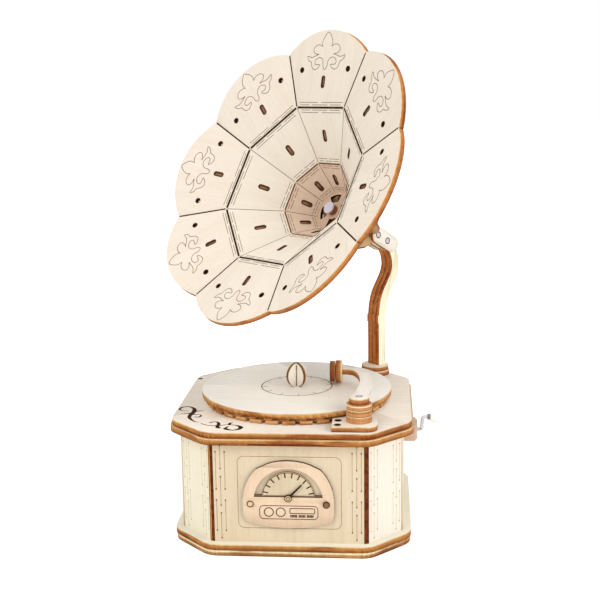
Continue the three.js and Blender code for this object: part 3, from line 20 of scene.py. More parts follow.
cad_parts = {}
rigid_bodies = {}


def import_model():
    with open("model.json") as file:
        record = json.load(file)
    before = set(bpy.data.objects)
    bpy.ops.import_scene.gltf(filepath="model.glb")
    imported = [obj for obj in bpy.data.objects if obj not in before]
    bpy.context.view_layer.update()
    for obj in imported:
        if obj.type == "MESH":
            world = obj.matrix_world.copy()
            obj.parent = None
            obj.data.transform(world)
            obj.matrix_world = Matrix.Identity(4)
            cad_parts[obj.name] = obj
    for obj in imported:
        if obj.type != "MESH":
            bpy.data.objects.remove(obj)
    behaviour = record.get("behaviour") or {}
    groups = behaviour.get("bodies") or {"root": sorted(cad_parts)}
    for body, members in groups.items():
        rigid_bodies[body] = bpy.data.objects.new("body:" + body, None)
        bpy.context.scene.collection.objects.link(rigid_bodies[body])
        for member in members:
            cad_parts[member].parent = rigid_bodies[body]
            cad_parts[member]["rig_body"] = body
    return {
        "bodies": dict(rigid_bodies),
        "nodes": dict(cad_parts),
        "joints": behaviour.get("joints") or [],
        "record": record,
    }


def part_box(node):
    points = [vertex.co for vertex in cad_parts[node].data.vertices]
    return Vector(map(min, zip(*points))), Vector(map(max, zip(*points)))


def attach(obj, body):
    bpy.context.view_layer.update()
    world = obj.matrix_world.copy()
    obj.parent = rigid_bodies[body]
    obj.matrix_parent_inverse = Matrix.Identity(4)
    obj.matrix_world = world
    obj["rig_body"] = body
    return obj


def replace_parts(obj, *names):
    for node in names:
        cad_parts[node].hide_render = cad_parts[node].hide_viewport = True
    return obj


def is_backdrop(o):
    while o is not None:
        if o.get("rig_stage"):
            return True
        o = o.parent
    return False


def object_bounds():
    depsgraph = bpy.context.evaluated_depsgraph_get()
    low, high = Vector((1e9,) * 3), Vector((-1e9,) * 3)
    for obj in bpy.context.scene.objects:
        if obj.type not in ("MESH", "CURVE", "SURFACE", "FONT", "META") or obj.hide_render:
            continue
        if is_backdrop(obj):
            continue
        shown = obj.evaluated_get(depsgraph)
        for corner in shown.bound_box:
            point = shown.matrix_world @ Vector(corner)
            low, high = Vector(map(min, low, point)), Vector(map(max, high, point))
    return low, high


MM = 0.001
LOG = logging.getLogger("music_box")
RIGHT = (1.0, 0.0, 0.0)
BACK = (0.0, 1.0, 0.0)
UP = (0.0, 0.0, 1.0)
FRONT = (0.0, -1.0, 0.0)
SIDES = (-1.0, 1.0)
WHITE = (1.0, 1.0, 1.0)
CORNER_POINTS = 7

Array = np.ndarray
Pair = tuple[float, float]
Triple = tuple[float, float, float]
Socket = bpy.types.NodeSocket


def unit(vector: Array) -> Array:
    """Vector divided by its own length."""
    vector = np.asarray(vector, float)
    return vector / np.linalg.norm(vector, axis=-1, keepdims=True)


def linear(colour: Triple) -> tuple[float, float, float, float]:
    """Turn a display colour into the linear one that a shader takes.

    Args:
        colour: red, green and blue as they look on a screen, 0 to 1.

    Returns:
        The linear colour with an alpha of 1.
    """
    made = [c / 12.92 if c <= 0.04045 else ((c + 0.055) / 1.055) ** 2.4 for c in colour]
    return (made[0], made[1], made[2], 1.0)


class Wood(Enum):
    """Slots of the record that a piece of wood takes its finish from."""

    CREAM = "cream_ply"
    TAN = "tan_ply"
    PALE = "pale_wood"
    DARK = "dark_wood"


class Nodes:
    """Small helper that adds nodes to one tree and joins them."""

    def __init__(self, tree: bpy.types.NodeTree) -> None:
        """Keep the tree."""
        self.tree = tree

    def node(self, kind: str, **values: object) -> bpy.types.Node:
        """Add a node and set its properties.

        Args:
            kind: type name of the node.
            **values: properties of the node, by name.

        Returns:
            The new node.
        """
        made = self.tree.nodes.new(kind)
        for key, value in values.items():
            setattr(made, key, value)
        return made

    def join(self, out: Socket, to: Socket) -> None:
        """Join two sockets."""
        self.tree.links.new(out, to)

    def work_out(self, kind: str, *terms: Socket | float) -> Socket:
        """Work a number out from sockets and numbers.

        Args:
            kind: operation of the math node.
            *terms: what goes into its inputs, in order.

        Returns:
            The socket with the result.
        """
        made = self.node("ShaderNodeMath", operation=kind)
        for socket, term in zip(made.inputs, terms):
            if isinstance(term, float):
                socket.default_value = term
            else:
                self.join(term, socket)
        return made.outputs[0]

    def remap(self, value: Socket, start: Pair, end: Pair) -> Socket:
        """Carry a value from one range over to another, in a straight line.

        Args:
            value: socket with the value.
            start: range that it comes in.
            end: range that it leaves in.

        Returns:
            The socket with the new value.
        """
        made = self.node("ShaderNodeMapRange")
        self.join(value, made.inputs["Value"])
        for name, number in zip(("From Min", "From Max", "To Min", "To Max"), (*start, *end)):
            made.inputs[name].default_value = number
        return made.outputs["Result"]


class Shader(Nodes):
    """Nodes of one material, whose only shader is a Principled one."""

    def __init__(self, name: str) -> None:
        """Start a material of that name.

        Args:
            name: name of the material.
        """
        self.material = bpy.data.materials.new(name)
        self.material.use_nodes = True
        super().__init__(self.material.node_tree)
        self.bsdf = self.tree.nodes["Principled BSDF"]

    def place(self) -> Socket:
        """Place in the object, in metres."""
        return self.node("ShaderNodeTexCoord").outputs["Object"]

    def ply(self) -> Socket:
        """Attribute of a sheet: distance along the grain, distance across it and share of its depth."""
        return self.node("ShaderNodeAttribute", attribute_name="ply").outputs["Vector"]

    def noise(self, vector: Socket, scale: Triple, detail: float) -> Socket:
        """Noise over a stretched vector.

        Args:
            vector: socket that gives the place, in metres.
            scale: repeats per metre along the three directions.
            detail: octaves of the noise.

        Returns:
            The socket with the noise, about 0.3 to 0.7.
        """
        stretch = self.node("ShaderNodeMapping")
        stretch.inputs["Scale"].default_value = scale
        self.join(vector, stretch.inputs["Vector"])
        noise = self.node("ShaderNodeTexNoise")
        for name, number in (("Scale", 1.0), ("Detail", detail), ("Roughness", 0.6)):
            noise.inputs[name].default_value = number
        self.join(stretch.outputs["Vector"], noise.inputs["Vector"])
        return noise.outputs["Fac"]

    def ramp(self, value: Socket, stops: list[tuple[float, Triple]]) -> Socket:
        """Colour ramp over a value.

        Args:
            value: socket with the value.
            stops: places on the ramp and their display colours.

        Returns:
            The socket with the colour.
        """
        made = self.node("ShaderNodeValToRGB")
        elements = made.color_ramp.elements
        while len(elements) < len(stops):
            elements.new(0.5)
        for element, (place, colour) in zip(elements, stops):
            element.position = place
            element.color = linear(colour)
        self.join(value, made.inputs["Fac"])
        return made.outputs["Color"]

    def mix(self, factor: float, first: Socket, second: Socket, kind: str = "MIX") -> Socket:
        """Blend two colours.

        Args:
            factor: share of the second colour, 0 to 1.
            first: first colour.
            second: second colour.
            kind: way of blending.

        Returns:
            The socket with the blended colour.
        """
        made = self.node("ShaderNodeMix", data_type="RGBA", blend_type=kind)
        made.inputs["Factor"].default_value = factor
        self.join(first, made.inputs[6])
        self.join(second, made.inputs[7])
        return made.outputs[2]

    def bump(self, height: Socket, strength: float, depth: float) -> None:
        """Raise the surface a little.

        Args:
            height: socket with the height.
            strength: strength of the bump, 0 to 1.
            depth: height of the relief in metres.
        """
        made = self.node("ShaderNodeBump")
        made.inputs["Strength"].default_value = strength
        made.inputs["Distance"].default_value = depth
        self.join(height, made.inputs["Height"])
        self.join(made.outputs["Normal"], self.bsdf.inputs["Normal"])

    def dress(self, colour: Socket, roughness: float, gloss: float = 0.5) -> bpy.types.Material:
        """Set the surface and end the material.

        Args:
            colour: socket with the colour.
            roughness: roughness, 0 to 1.
            gloss: specular level, 0 to 1.

        Returns:
            The material.
        """
        self.join(colour, self.bsdf.inputs["Base Color"])
        self.bsdf.inputs["Roughness"].default_value = roughness
        self.bsdf.inputs["Specular IOR Level"].default_value = gloss
        return self.material


@dataclass(frozen=True)
class VeneerFace:
    """Face veneer of a sheet: streaks of grain along the sheet, soft clouds and fine pores."""

    name: str
    pale: Triple
    streak: Triple
    grain_scale: Triple = (26.0, 620.0, 0.0)
    cloud_scale: Triple = (9.0, 90.0, 0.0)
    pore_scale: Triple = (160.0, 2600.0, 0.0)
    pore: Triple = (0.96, 0.945, 0.92)
    relief: float = 0.00012

    def build(self) -> bpy.types.Material:
        """Material that reads the sheet's own directions from the attribute named ply.

        Returns:
            The material.
        """
        shader = Shader(self.name)
        ply = shader.ply()
        grain = shader.noise(ply, self.grain_scale, detail=5.0)
        broad = shader.noise(ply, self.cloud_scale, detail=2.0)
        pores = shader.noise(ply, self.pore_scale, detail=2.0)
        base = shader.ramp(grain, [(0.32, self.streak), (0.60, self.pale)])
        clouds = shader.ramp(broad, [(0.30, self.streak), (0.60, self.pale)])
        specks = shader.ramp(pores, [(0.30, self.pore), (0.42, WHITE)])
        colour = shader.mix(1.0, shader.mix(0.5, base, clouds), specks, "MULTIPLY")
        shader.bump(grain, strength=0.25, depth=self.relief)
        return shader.dress(colour, roughness=0.62, gloss=0.25)


@dataclass(frozen=True)
class CutEdge:
    """Edge of a sheet as the cutting beam leaves it: pale face veneer, browned core, darker lower half."""

    name: str
    veneer: Triple
    core: Triple
    low: Triple
    glue: Triple
    share: float = 0.2
    wave: float = 0.12
    wave_scale: Triple = (70.0, 70.0, 0.8)
    streak_scale: Triple = (38.0, 38.0, 0.5)
    streak: Triple = (0.80, 0.66, 0.56)
    mark_scale: Triple = (420.0, 420.0, 0.4)
    mark: Triple = (0.94, 0.91, 0.88)

    def build(self) -> bpy.types.Material:
        """Material that reads the depth in the sheet from the third part of the attribute named ply.

        Returns:
            The material.
        """
        shader = Shader(self.name)
        ply = shader.ply()
        parts = shader.node("ShaderNodeSeparateXYZ")
        shader.join(ply, parts.inputs["Vector"])
        noise = shader.noise(ply, self.wave_scale, detail=3.0)
        shift = shader.work_out("MULTIPLY_ADD", noise, self.wave, parts.outputs["Z"])
        depth = shader.work_out("SUBTRACT", shift, self.wave / 2)
        layers = shader.ramp(
            depth,
            [
                (0.0, self.veneer), (self.share * 0.75, self.veneer),
                (self.share * 1.4, self.core), (0.48, self.core),
                (0.60, self.low), (0.88, self.low), (0.97, self.glue), (1.0, self.glue),
            ],
        )
        slow = shader.noise(ply, self.streak_scale, detail=2.0)
        streaks = shader.ramp(slow, [(0.36, self.streak), (0.50, WHITE)])
        fine = shader.noise(ply, self.mark_scale, detail=2.0)
        marks = shader.ramp(fine, [(0.34, self.mark), (0.60, WHITE)])
        worn = shader.mix(1.0, shader.mix(1.0, layers, streaks, "MULTIPLY"), marks, "MULTIPLY")
        return shader.dress(worn, roughness=0.78, gloss=0.2)


@dataclass(frozen=True)
class Scorch:
    """Burnt line or cut, dark brown with lighter patches; the same darker-to-lighter patches also make
    lines of painted shade and painted highlight.
    """

    name: str
    dark: Triple
    light: Triple
    scale: Triple = (420.0, 420.0, 420.0)

    def build(self) -> bpy.types.Material:
        """Material on the place in the object.

        Returns:
            The material.
        """
        shader = Shader(self.name)
        patches = shader.noise(shader.place(), self.scale, detail=3.0)
        colour = shader.ramp(patches, [(0.36, self.dark), (0.66, self.light)])
        return shader.dress(colour, roughness=0.85, gloss=0.1)


@dataclass(frozen=True)
class RoundWood:
    """Turned or rounded wood with its grain along one axis of the object."""

    name: str
    pale: Triple
    streak: Triple
    along: int = 0
    fine: float = 900.0
    coarse: float = 60.0
    relief: float = 0.0001

    def build(self) -> bpy.types.Material:
        """Material on the place in the object, stretched along the grain.

        Returns:
            The material.
        """
        shader = Shader(self.name)
        scale = [self.fine] * 3
        scale[self.along] = self.coarse
        grain = shader.noise(shader.place(), tuple(scale), detail=4.0)
        shader.bump(grain, strength=0.25, depth=self.relief)
        colour = shader.ramp(grain, [(0.36, self.streak), (0.60, self.pale)])
        return shader.dress(colour, roughness=0.6, gloss=0.25)


@dataclass(frozen=True)
class Metal:
    """Plain metal with fine drawn lines."""

    name: str
    tint: Triple
    shade: Triple
    roughness: float = 0.32
    scale: Triple = (200.0, 2400.0, 2400.0)

    def build(self) -> bpy.types.Material:
        """Material on the place in the object.

        Returns:
            The material.
        """
        shader = Shader(self.name)
        lines = shader.noise(shader.place(), self.scale, detail=2.0)
        shader.bsdf.inputs["Metallic"].default_value = 1.0
        colour = shader.ramp(lines, [(0.35, self.shade), (0.62, self.tint)])
        return shader.dress(colour, self.roughness)


Finish = VeneerFace | CutEdge | Scorch | RoundWood | Metal

PETAL_FACE = VeneerFace("petal_face", (0.905, 0.86, 0.8), (0.87, 0.82, 0.75))
BELL_FACE = VeneerFace("bell_face", (0.91, 0.875, 0.815), (0.88, 0.835, 0.765))
# Painted shade: the cone panels lie deep in the horn and are darker and warmer than the bell and petal
# panels of the same sheets.
CONE_FACE_SHADED = VeneerFace("cone_face_painted_shade", (0.865, 0.775, 0.69), (0.825, 0.725, 0.635))
THROAT_FACE = VeneerFace("throat_face", (0.8, 0.69, 0.59), (0.75, 0.63, 0.53))
DECK_FACE = VeneerFace("deck_face", (0.933, 0.89, 0.832), (0.897, 0.845, 0.782))
RECORD_FACE = VeneerFace("record_face", (0.955, 0.935, 0.9), (0.93, 0.9, 0.855))
FRONT_FACE = VeneerFace("front_face", (0.88, 0.818, 0.708), (0.845, 0.768, 0.648))
DIAL_FACE = VeneerFace("dial_face", (0.915, 0.815, 0.7), (0.88, 0.77, 0.65))
SCALE_FACE = VeneerFace("scale_face", (0.85, 0.785, 0.665), (0.815, 0.74, 0.615))
SIDE_FACE = VeneerFace("side_face", (0.94, 0.91, 0.825), (0.91, 0.875, 0.78))
WHITE_FACE = VeneerFace("white_face", (0.96, 0.928, 0.876), (0.935, 0.898, 0.836))
STAND_FACE = VeneerFace("stand_face", (1.0, 0.975, 0.855), (0.99, 0.955, 0.82))
TAN_FACE = VeneerFace("tan_face", (0.8, 0.655, 0.48), (0.75, 0.6, 0.42))
PLATE_EDGE = CutEdge(
    "plate_edge", (0.94, 0.79, 0.57), (0.75, 0.53, 0.29), (0.68, 0.43, 0.2), (0.46, 0.27, 0.12), 0.15
)
PALE_EDGE = CutEdge("pale_edge", (0.94, 0.9, 0.8), (0.92, 0.86, 0.74), (0.9, 0.83, 0.7), (0.84, 0.75, 0.62))
FOOT_EDGE = CutEdge(
    "foot_edge", (1.0, 0.94, 0.78), (0.77, 0.59, 0.38), (0.73, 0.54, 0.33), (0.58, 0.4, 0.24), 0.36
)
RECORD_EDGE = CutEdge(
    "record_edge", (0.9, 0.76, 0.56), (0.83, 0.62, 0.37), (0.79, 0.56, 0.31), (0.55, 0.33, 0.16), 0.18
)
STAVE_EDGE = CutEdge(
    "stave_edge", (0.9, 0.76, 0.56), (0.76, 0.52, 0.29), (0.68, 0.42, 0.22), (0.48, 0.28, 0.15), 0.14
)
STAND_EDGE = CutEdge(
    "stand_edge", (0.66, 0.36, 0.15), (0.84, 0.52, 0.22), (0.76, 0.43, 0.18), (0.52, 0.26, 0.1), 0.1
)
RIB_EDGE = CutEdge(
    "rib_edge", (0.62, 0.47, 0.37), (0.62, 0.46, 0.35), (0.56, 0.4, 0.3), (0.42, 0.28, 0.2), 0.12
)
ARM_EDGE = CutEdge("arm_edge", (0.97, 0.87, 0.68), (0.74, 0.5, 0.3), (0.68, 0.43, 0.24), (0.45, 0.26, 0.14))
# Burnt cut edge darkened further with painted shade, for the walls where they meet and the escutcheon's
# rim.
SHADED_CUT_EDGE = CutEdge("seam_edge", (0.4, 0.24, 0.14), (0.34, 0.19, 0.1), (0.3, 0.16, 0.08), (0.2, 0.1, 0.05))
TOOTH_EDGE = CutEdge(
    "tooth_edge", (0.9, 0.72, 0.49), (0.87, 0.66, 0.43), (0.8, 0.57, 0.35), (0.45, 0.26, 0.13)
)
LEAF_EDGE = CutEdge(
    "leaf_edge", (0.7, 0.55, 0.32), (0.6, 0.44, 0.23), (0.54, 0.38, 0.19), (0.42, 0.28, 0.13)
)
LINE = Scorch("burnt_line", (0.3, 0.19, 0.115), (0.45, 0.32, 0.22))
DIAL_LINE = Scorch("dial_line", (0.2, 0.115, 0.06), (0.33, 0.205, 0.12))
FINE_LINE = Scorch("fine_line", (0.62, 0.5, 0.36), (0.72, 0.6, 0.45))
SIDE_LINE = Scorch("side_line", (0.76, 0.72, 0.56), (0.86, 0.82, 0.66))
DOT = Scorch("cut_end", (0.3, 0.19, 0.1), (0.4, 0.27, 0.15))
SIDE_DOT = Scorch("side_cut_end", (0.6, 0.56, 0.38), (0.7, 0.66, 0.48))
OLIVE_LINE = Scorch("olive_line", (0.4, 0.33, 0.2), (0.52, 0.44, 0.28))
# Charred cuts, burnt lines and the dark pointer, and also painted shade in the bell folds, the knob's
# crease and the throat's windows.
CHAR_AND_SHADE = Scorch("charred_cut_and_painted_shade", (0.15, 0.085, 0.045), (0.29, 0.175, 0.1))
SLOT_RIM = Scorch("slot_rim", (0.27, 0.16, 0.095), (0.4, 0.25, 0.16))
# Painted shade: the fins in the front corner seams, the horn's cone folds, the arm post's grooves and the
# line under the deck.
SEAM = Scorch("seam_shade", (0.33, 0.135, 0.045), (0.5, 0.24, 0.095))
TAN_LINE = Scorch("tan_strip", (0.78, 0.56, 0.33), (0.86, 0.66, 0.43))
# Painted highlight: pale lines on the lit rims of the tone arm's post and swivel.
HIGHLIGHT_LINE = Scorch("painted_highlight_rim", (0.93, 0.82, 0.64), (0.98, 0.9, 0.74))
# Painted highlight: pale grey for the lit edges of the two upper plates at the crank's side.
LIT_EDGE_HIGHLIGHT = Scorch("lit_edge_painted_highlight", (0.7, 0.65, 0.6), (0.8, 0.75, 0.69))
CAP_WOOD = RoundWood("cap_wood", (0.82, 0.785, 0.84), (0.78, 0.74, 0.79))
# Pale wood of the handle, made paler still with painted light.
KNOB_WOOD_LIT = RoundWood("knob_wood_painted_light", (0.99, 0.975, 0.945), (0.96, 0.935, 0.89))
BOSS_WOOD = RoundWood("boss_wood", (0.85, 0.73, 0.64), (0.76, 0.63, 0.53), 1)
COLLAR_WOOD = RoundWood("collar_wood", (0.6, 0.59, 0.6), (0.48, 0.47, 0.48))
DOWEL_WOOD = RoundWood("dowel_wood", (0.9, 0.8, 0.65), (0.8, 0.68, 0.52))
BROWN_WOOD = RoundWood("brown_wood", (0.56, 0.4, 0.29), (0.46, 0.31, 0.21))
STACK_WOOD = RoundWood("stack_wood", (0.79, 0.57, 0.37), (0.72, 0.49, 0.29), 2)
# Painted sheen: the steel wire is drawn as pale plain grey that stands for its bright reflection.
WIRE_PAINTED_SHEEN = RoundWood("wire_painted_sheen", (0.9, 0.9, 0.92), (0.82, 0.82, 0.85))
BRASS = Metal("plain_brass", (0.87, 0.72, 0.4), (0.7, 0.54, 0.26))
STEEL = Metal("drawn_steel", (0.78, 0.78, 0.78), (0.6, 0.6, 0.6), 0.28)


class Finishes:
    """Builds each finish once and keeps it."""

    def __init__(self) -> None:
        """Start with nothing built."""
        self.made: dict[str, bpy.types.Material] = {}

    def get(self, finish: Finish) -> bpy.types.Material:
        """Material of a finish.

        Args:
            finish: finish to look up, which is built the first time.

        Returns:
            Its material.
        """
        if finish.name not in self.made:
            self.made[finish.name] = finish.build()
        return self.made[finish.name]


@dataclass(frozen=True)
class Panel:
    """One flat side of a sheet: its outward direction and the direction of its grain."""

    out: Triple
    grain: Triple
    face: float | None = None
    ply: float | None = None
    finish: VeneerFace | None = None


@dataclass
class Stroke:
    """A drawn line: its points in millimetres, its outward sides, its widths and whether it is closed."""

    points: Array
    out: Array
    width: Array | float
    closed: bool = False


@dataclass(frozen=True)
class Plane:
    """Flat place to draw on: origin, level direction and rising direction; it faces their cross product."""

    origin: Triple
    level: Triple
    rise: Triple

    def out(self) -> Array:
        """Outward direction of the plane."""
        return unit(np.cross(self.level, self.rise))

    def place(self, points: Array) -> Array:
        """Points of the plane in the frame: origin plus x times level plus y times rise.

        Args:
            points: rows of x and y on the plane.

        Returns:
            The rows in the frame, in millimetres.
        """
        points = np.asarray(points, float)
        along, across = points[:, :1], points[:, 1:2]
        return np.asarray(self.origin) + along * np.asarray(self.level) + across * np.asarray(self.rise)

    def stroke(self, points: Array, width: Array | float, closed: bool = False) -> Stroke:
        """Line on the plane.

        Args:
            points: rows of x and y on the plane.
            width: its width, or one for each point.
            closed: whether it comes back to its start.

        Returns:
            The line, placed in the frame.
        """
        return Stroke(self.place(points), self.out(), width, closed)


def level_plane(height: float) -> Plane:
    """Plane at a height that faces upwards, whose points are x and y of the frame."""
    return Plane((0.0, 0.0, height), RIGHT, BACK)


def front_plane(y: float) -> Plane:
    """Plane that faces the front, whose points are x and z of the frame."""
    return Plane((0.0, y, 0.0), RIGHT, UP)


def extent(node: str, axis: int) -> Pair:
    """Lowest and highest place of a node along an axis, in millimetres."""
    low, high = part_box(node)
    return low[axis] / MM, high[axis] / MM


def middle(node: str) -> Array:
    """Middle of a node's box, in millimetres."""
    low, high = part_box(node)
    return (np.array(low) + np.array(high)) / 2 / MM


def half_span(node: str, axis: int) -> float:
    """Half of a node's extent along an axis: the radius of a round one."""
    return float(np.ptp(extent(node, axis))) / 2


def curve(points: Array, steps: int, closed: bool = False) -> Array:
    """Smooth line through points.

    Each stretch is the cubic whose slope at a point is half the step between that point's neighbours.

    Args:
        points: rows of two or three numbers.
        steps: stretches between two points.
        closed: whether the line comes back to its start.

    Returns:
        The rows of the smooth line.
    """
    points = np.asarray(points, float)
    if closed:
        around = np.vstack([points[-1:], points, points[:2]])
    else:
        around = np.vstack([2 * points[:1] - points[1:2], points, 2 * points[-1:] - points[-2:-1]])
    a, b, c, d = around[:-3, None], around[1:-2, None], around[2:-1, None], around[3:, None]
    t = (np.arange(steps) / steps)[None, :, None]
    made = 0.5 * (2 * b + (c - a) * t + (2 * a - 5 * b + 4 * c - d) * t**2 + (3 * b - a - 3 * c + d) * t**3)
    made = made.reshape(-1, points.shape[1])
    return made if closed else np.vstack([made, points[-1:]])


def arc(radius: float, start: float, end: float, count: int, centre: Pair = (0.0, 0.0)) -> Array:
    """Points of an arc: centre plus radius times cosine and sine of angles from start to end.

    Args:
        radius: radius of the arc.
        start: first angle in degrees.
        end: last angle in degrees.
        count: number of points.
        centre: middle of the arc.

    Returns:
        Rows of x and y.
    """
    angle = np.radians(np.linspace(start, end, count))
    return np.stack([centre[0] + radius * np.cos(angle), centre[1] + radius * np.sin(angle)], 1)


def circle(radius: float, count: int, centre: Pair = (0.0, 0.0)) -> Array:
    """Points of a circle: an arc that stops one step short of the full turn."""
    return arc(radius, 0, 360 - 360 / count, count, centre)


def rounded_box(x0: float, y0: float, x1: float, y1: float, radius: float) -> Array:
    """Outline of a rectangle whose corners are quarter circles.

    Args:
        x0: its left side.
        y0: its lower side.
        x1: its right side.
        y1: its upper side.
        radius: radius of the corners.

    Returns:
        Rows of x and y.
    """
    left, low, right, high = x0 + radius, y0 + radius, x1 - radius, y1 - radius
    corners = [(right, low, -90), (right, high, 0), (left, high, 90), (left, low, 180)]
    return np.vstack([arc(radius, a, a + 90, CORNER_POINTS, (x, y)) for x, y, a in corners])


def column(items: bpy.types.bpy_prop_collection, name: str, width: int = 1) -> Array:
    """Property of all vertices, polygons or loops of a mesh.

    Args:
        items: what has the property.
        name: name of the property.
        width: numbers per item: 1 for whole numbers and 3 for vectors.

    Returns:
        A flat array of whole numbers, or one row per item.
    """
    made = np.empty(len(items) * width, np.int32 if width == 1 else float)
    items.foreach_get(name, made)
    return made if width == 1 else made.reshape(-1, width)


def clean(mesh: bpy.types.Mesh, merge: float = 0.0, turn: bool = True) -> None:
    """Merge points that coincide and turn the faces outwards.

    Args:
        mesh: mesh to change.
        merge: distance in metres under which points are merged, or zero for no merging.
        turn: whether the faces are turned.
    """
    tidy = bmesh.new()
    tidy.from_mesh(mesh)
    if merge:
        bmesh.ops.remove_doubles(tidy, verts=tidy.verts, dist=merge)
    if turn:
        bmesh.ops.recalc_face_normals(tidy, faces=tidy.faces)
    tidy.to_mesh(mesh)
    tidy.free()


def soften(mesh: bpy.types.Mesh, angle: float = 32.0) -> None:
    """Shade a mesh smooth but for edges sharper than an angle in degrees."""
    mesh.shade_smooth()
    mesh.set_sharp_from_angle(angle=math.radians(angle))


def stroke_mesh(name: str, strokes: list[Stroke], lift: float, sink: float = 0.12) -> bpy.types.Mesh:
    """Thin raised ribbons along lines, all in one mesh.

    The ribbon's section is a rectangle: half the width each way along side, which is out crossed with the
    line's direction, lift above the drawn surface and sink below it.

    Args:
        name: name of the mesh.
        strokes: lines to draw.
        lift: height above the surface, in millimetres.
        sink: depth below the surface, in millimetres.

    Returns:
        The mesh, in metres.
    """
    corners: list[Array] = []
    faces: list[tuple[int, ...]] = []
    start = 0
    for stroke in strokes:
        points = np.asarray(stroke.points, float)
        count = len(points)
        if stroke.closed:
            ahead, behind = np.roll(points, -1, 0), np.roll(points, 1, 0)
        else:
            ahead, behind = np.vstack([points[1:], points[-1:]]), np.vstack([points[:1], points[:-1]])
        out = np.broadcast_to(np.asarray(stroke.out, float), points.shape)
        side = unit(np.cross(out, unit(ahead - behind)))
        half = np.broadcast_to(np.asarray(stroke.width, float) / 2, (count,))[:, None]
        section = [
            points - side * half - out * sink, points + side * half - out * sink,
            points + side * half + out * lift, points - side * half + out * lift,
        ]
        corners.append(np.stack(section, 1).reshape(-1, 3))
        row = np.arange(count if stroke.closed else count - 1)
        near = start + row[:, None] * 4 + np.arange(4)[None]
        far = start + ((row + 1) % count)[:, None] * 4 + np.arange(4)[None]
        quads = np.stack([near, far, np.roll(far, -1, 1), np.roll(near, -1, 1)], 2).reshape(-1, 4)
        faces.extend(map(tuple, quads[:, ::-1].tolist()))
        if not stroke.closed:
            end = start + (count - 1) * 4
            faces.append((start, start + 1, start + 2, start + 3))
            faces.append((end + 3, end + 2, end + 1, end))
        start += count * 4
    mesh = bpy.data.meshes.new(name)
    mesh.from_pydata((np.vstack(corners) * MM).tolist(), [], faces)
    mesh.validate()
    clean(mesh)
    return mesh


def lathe_mesh(name: str, profile: Array, origin: Array, axis: Array, count: int = 64) -> bpy.types.Mesh:
    """Surface of revolution.

    A point is origin plus height times axis plus radius times the turned sideways direction, on a grid of
    profile points by angles. Profile points on the axis become one pole.

    Args:
        name: name of the mesh.
        profile: rows of radius and height in millimetres, so ordered that the outside lies on their right.
        origin: place of height zero.
        axis: direction of growing height.
        count: points round the axis.

    Returns:
        The mesh, in metres.
    """
    profile = np.asarray(profile, float)
    axis = unit(axis)
    first = unit(np.cross(axis, BACK if abs(axis[1]) < 0.9 else RIGHT))
    second = np.cross(axis, first)
    angle = np.linspace(0, 2 * np.pi, count, endpoint=False)
    spoke = np.cos(angle)[:, None] * first + np.sin(angle)[:, None] * second
    grid = np.asarray(origin) + profile[:, None, 1:2] * axis + profile[:, None, 0:1] * spoke[None]
    index = np.arange(len(profile) * count).reshape(len(profile), count)
    around = np.roll(index, -1, 1)
    quads = np.stack([index[:-1], around[:-1], around[1:], index[1:]], 2).reshape(-1, 4)
    mesh = bpy.data.meshes.new(name)
    mesh.from_pydata((grid.reshape(-1, 3) * MM).tolist(), [], quads.tolist())
    clean(mesh, 1e-7)
    return mesh


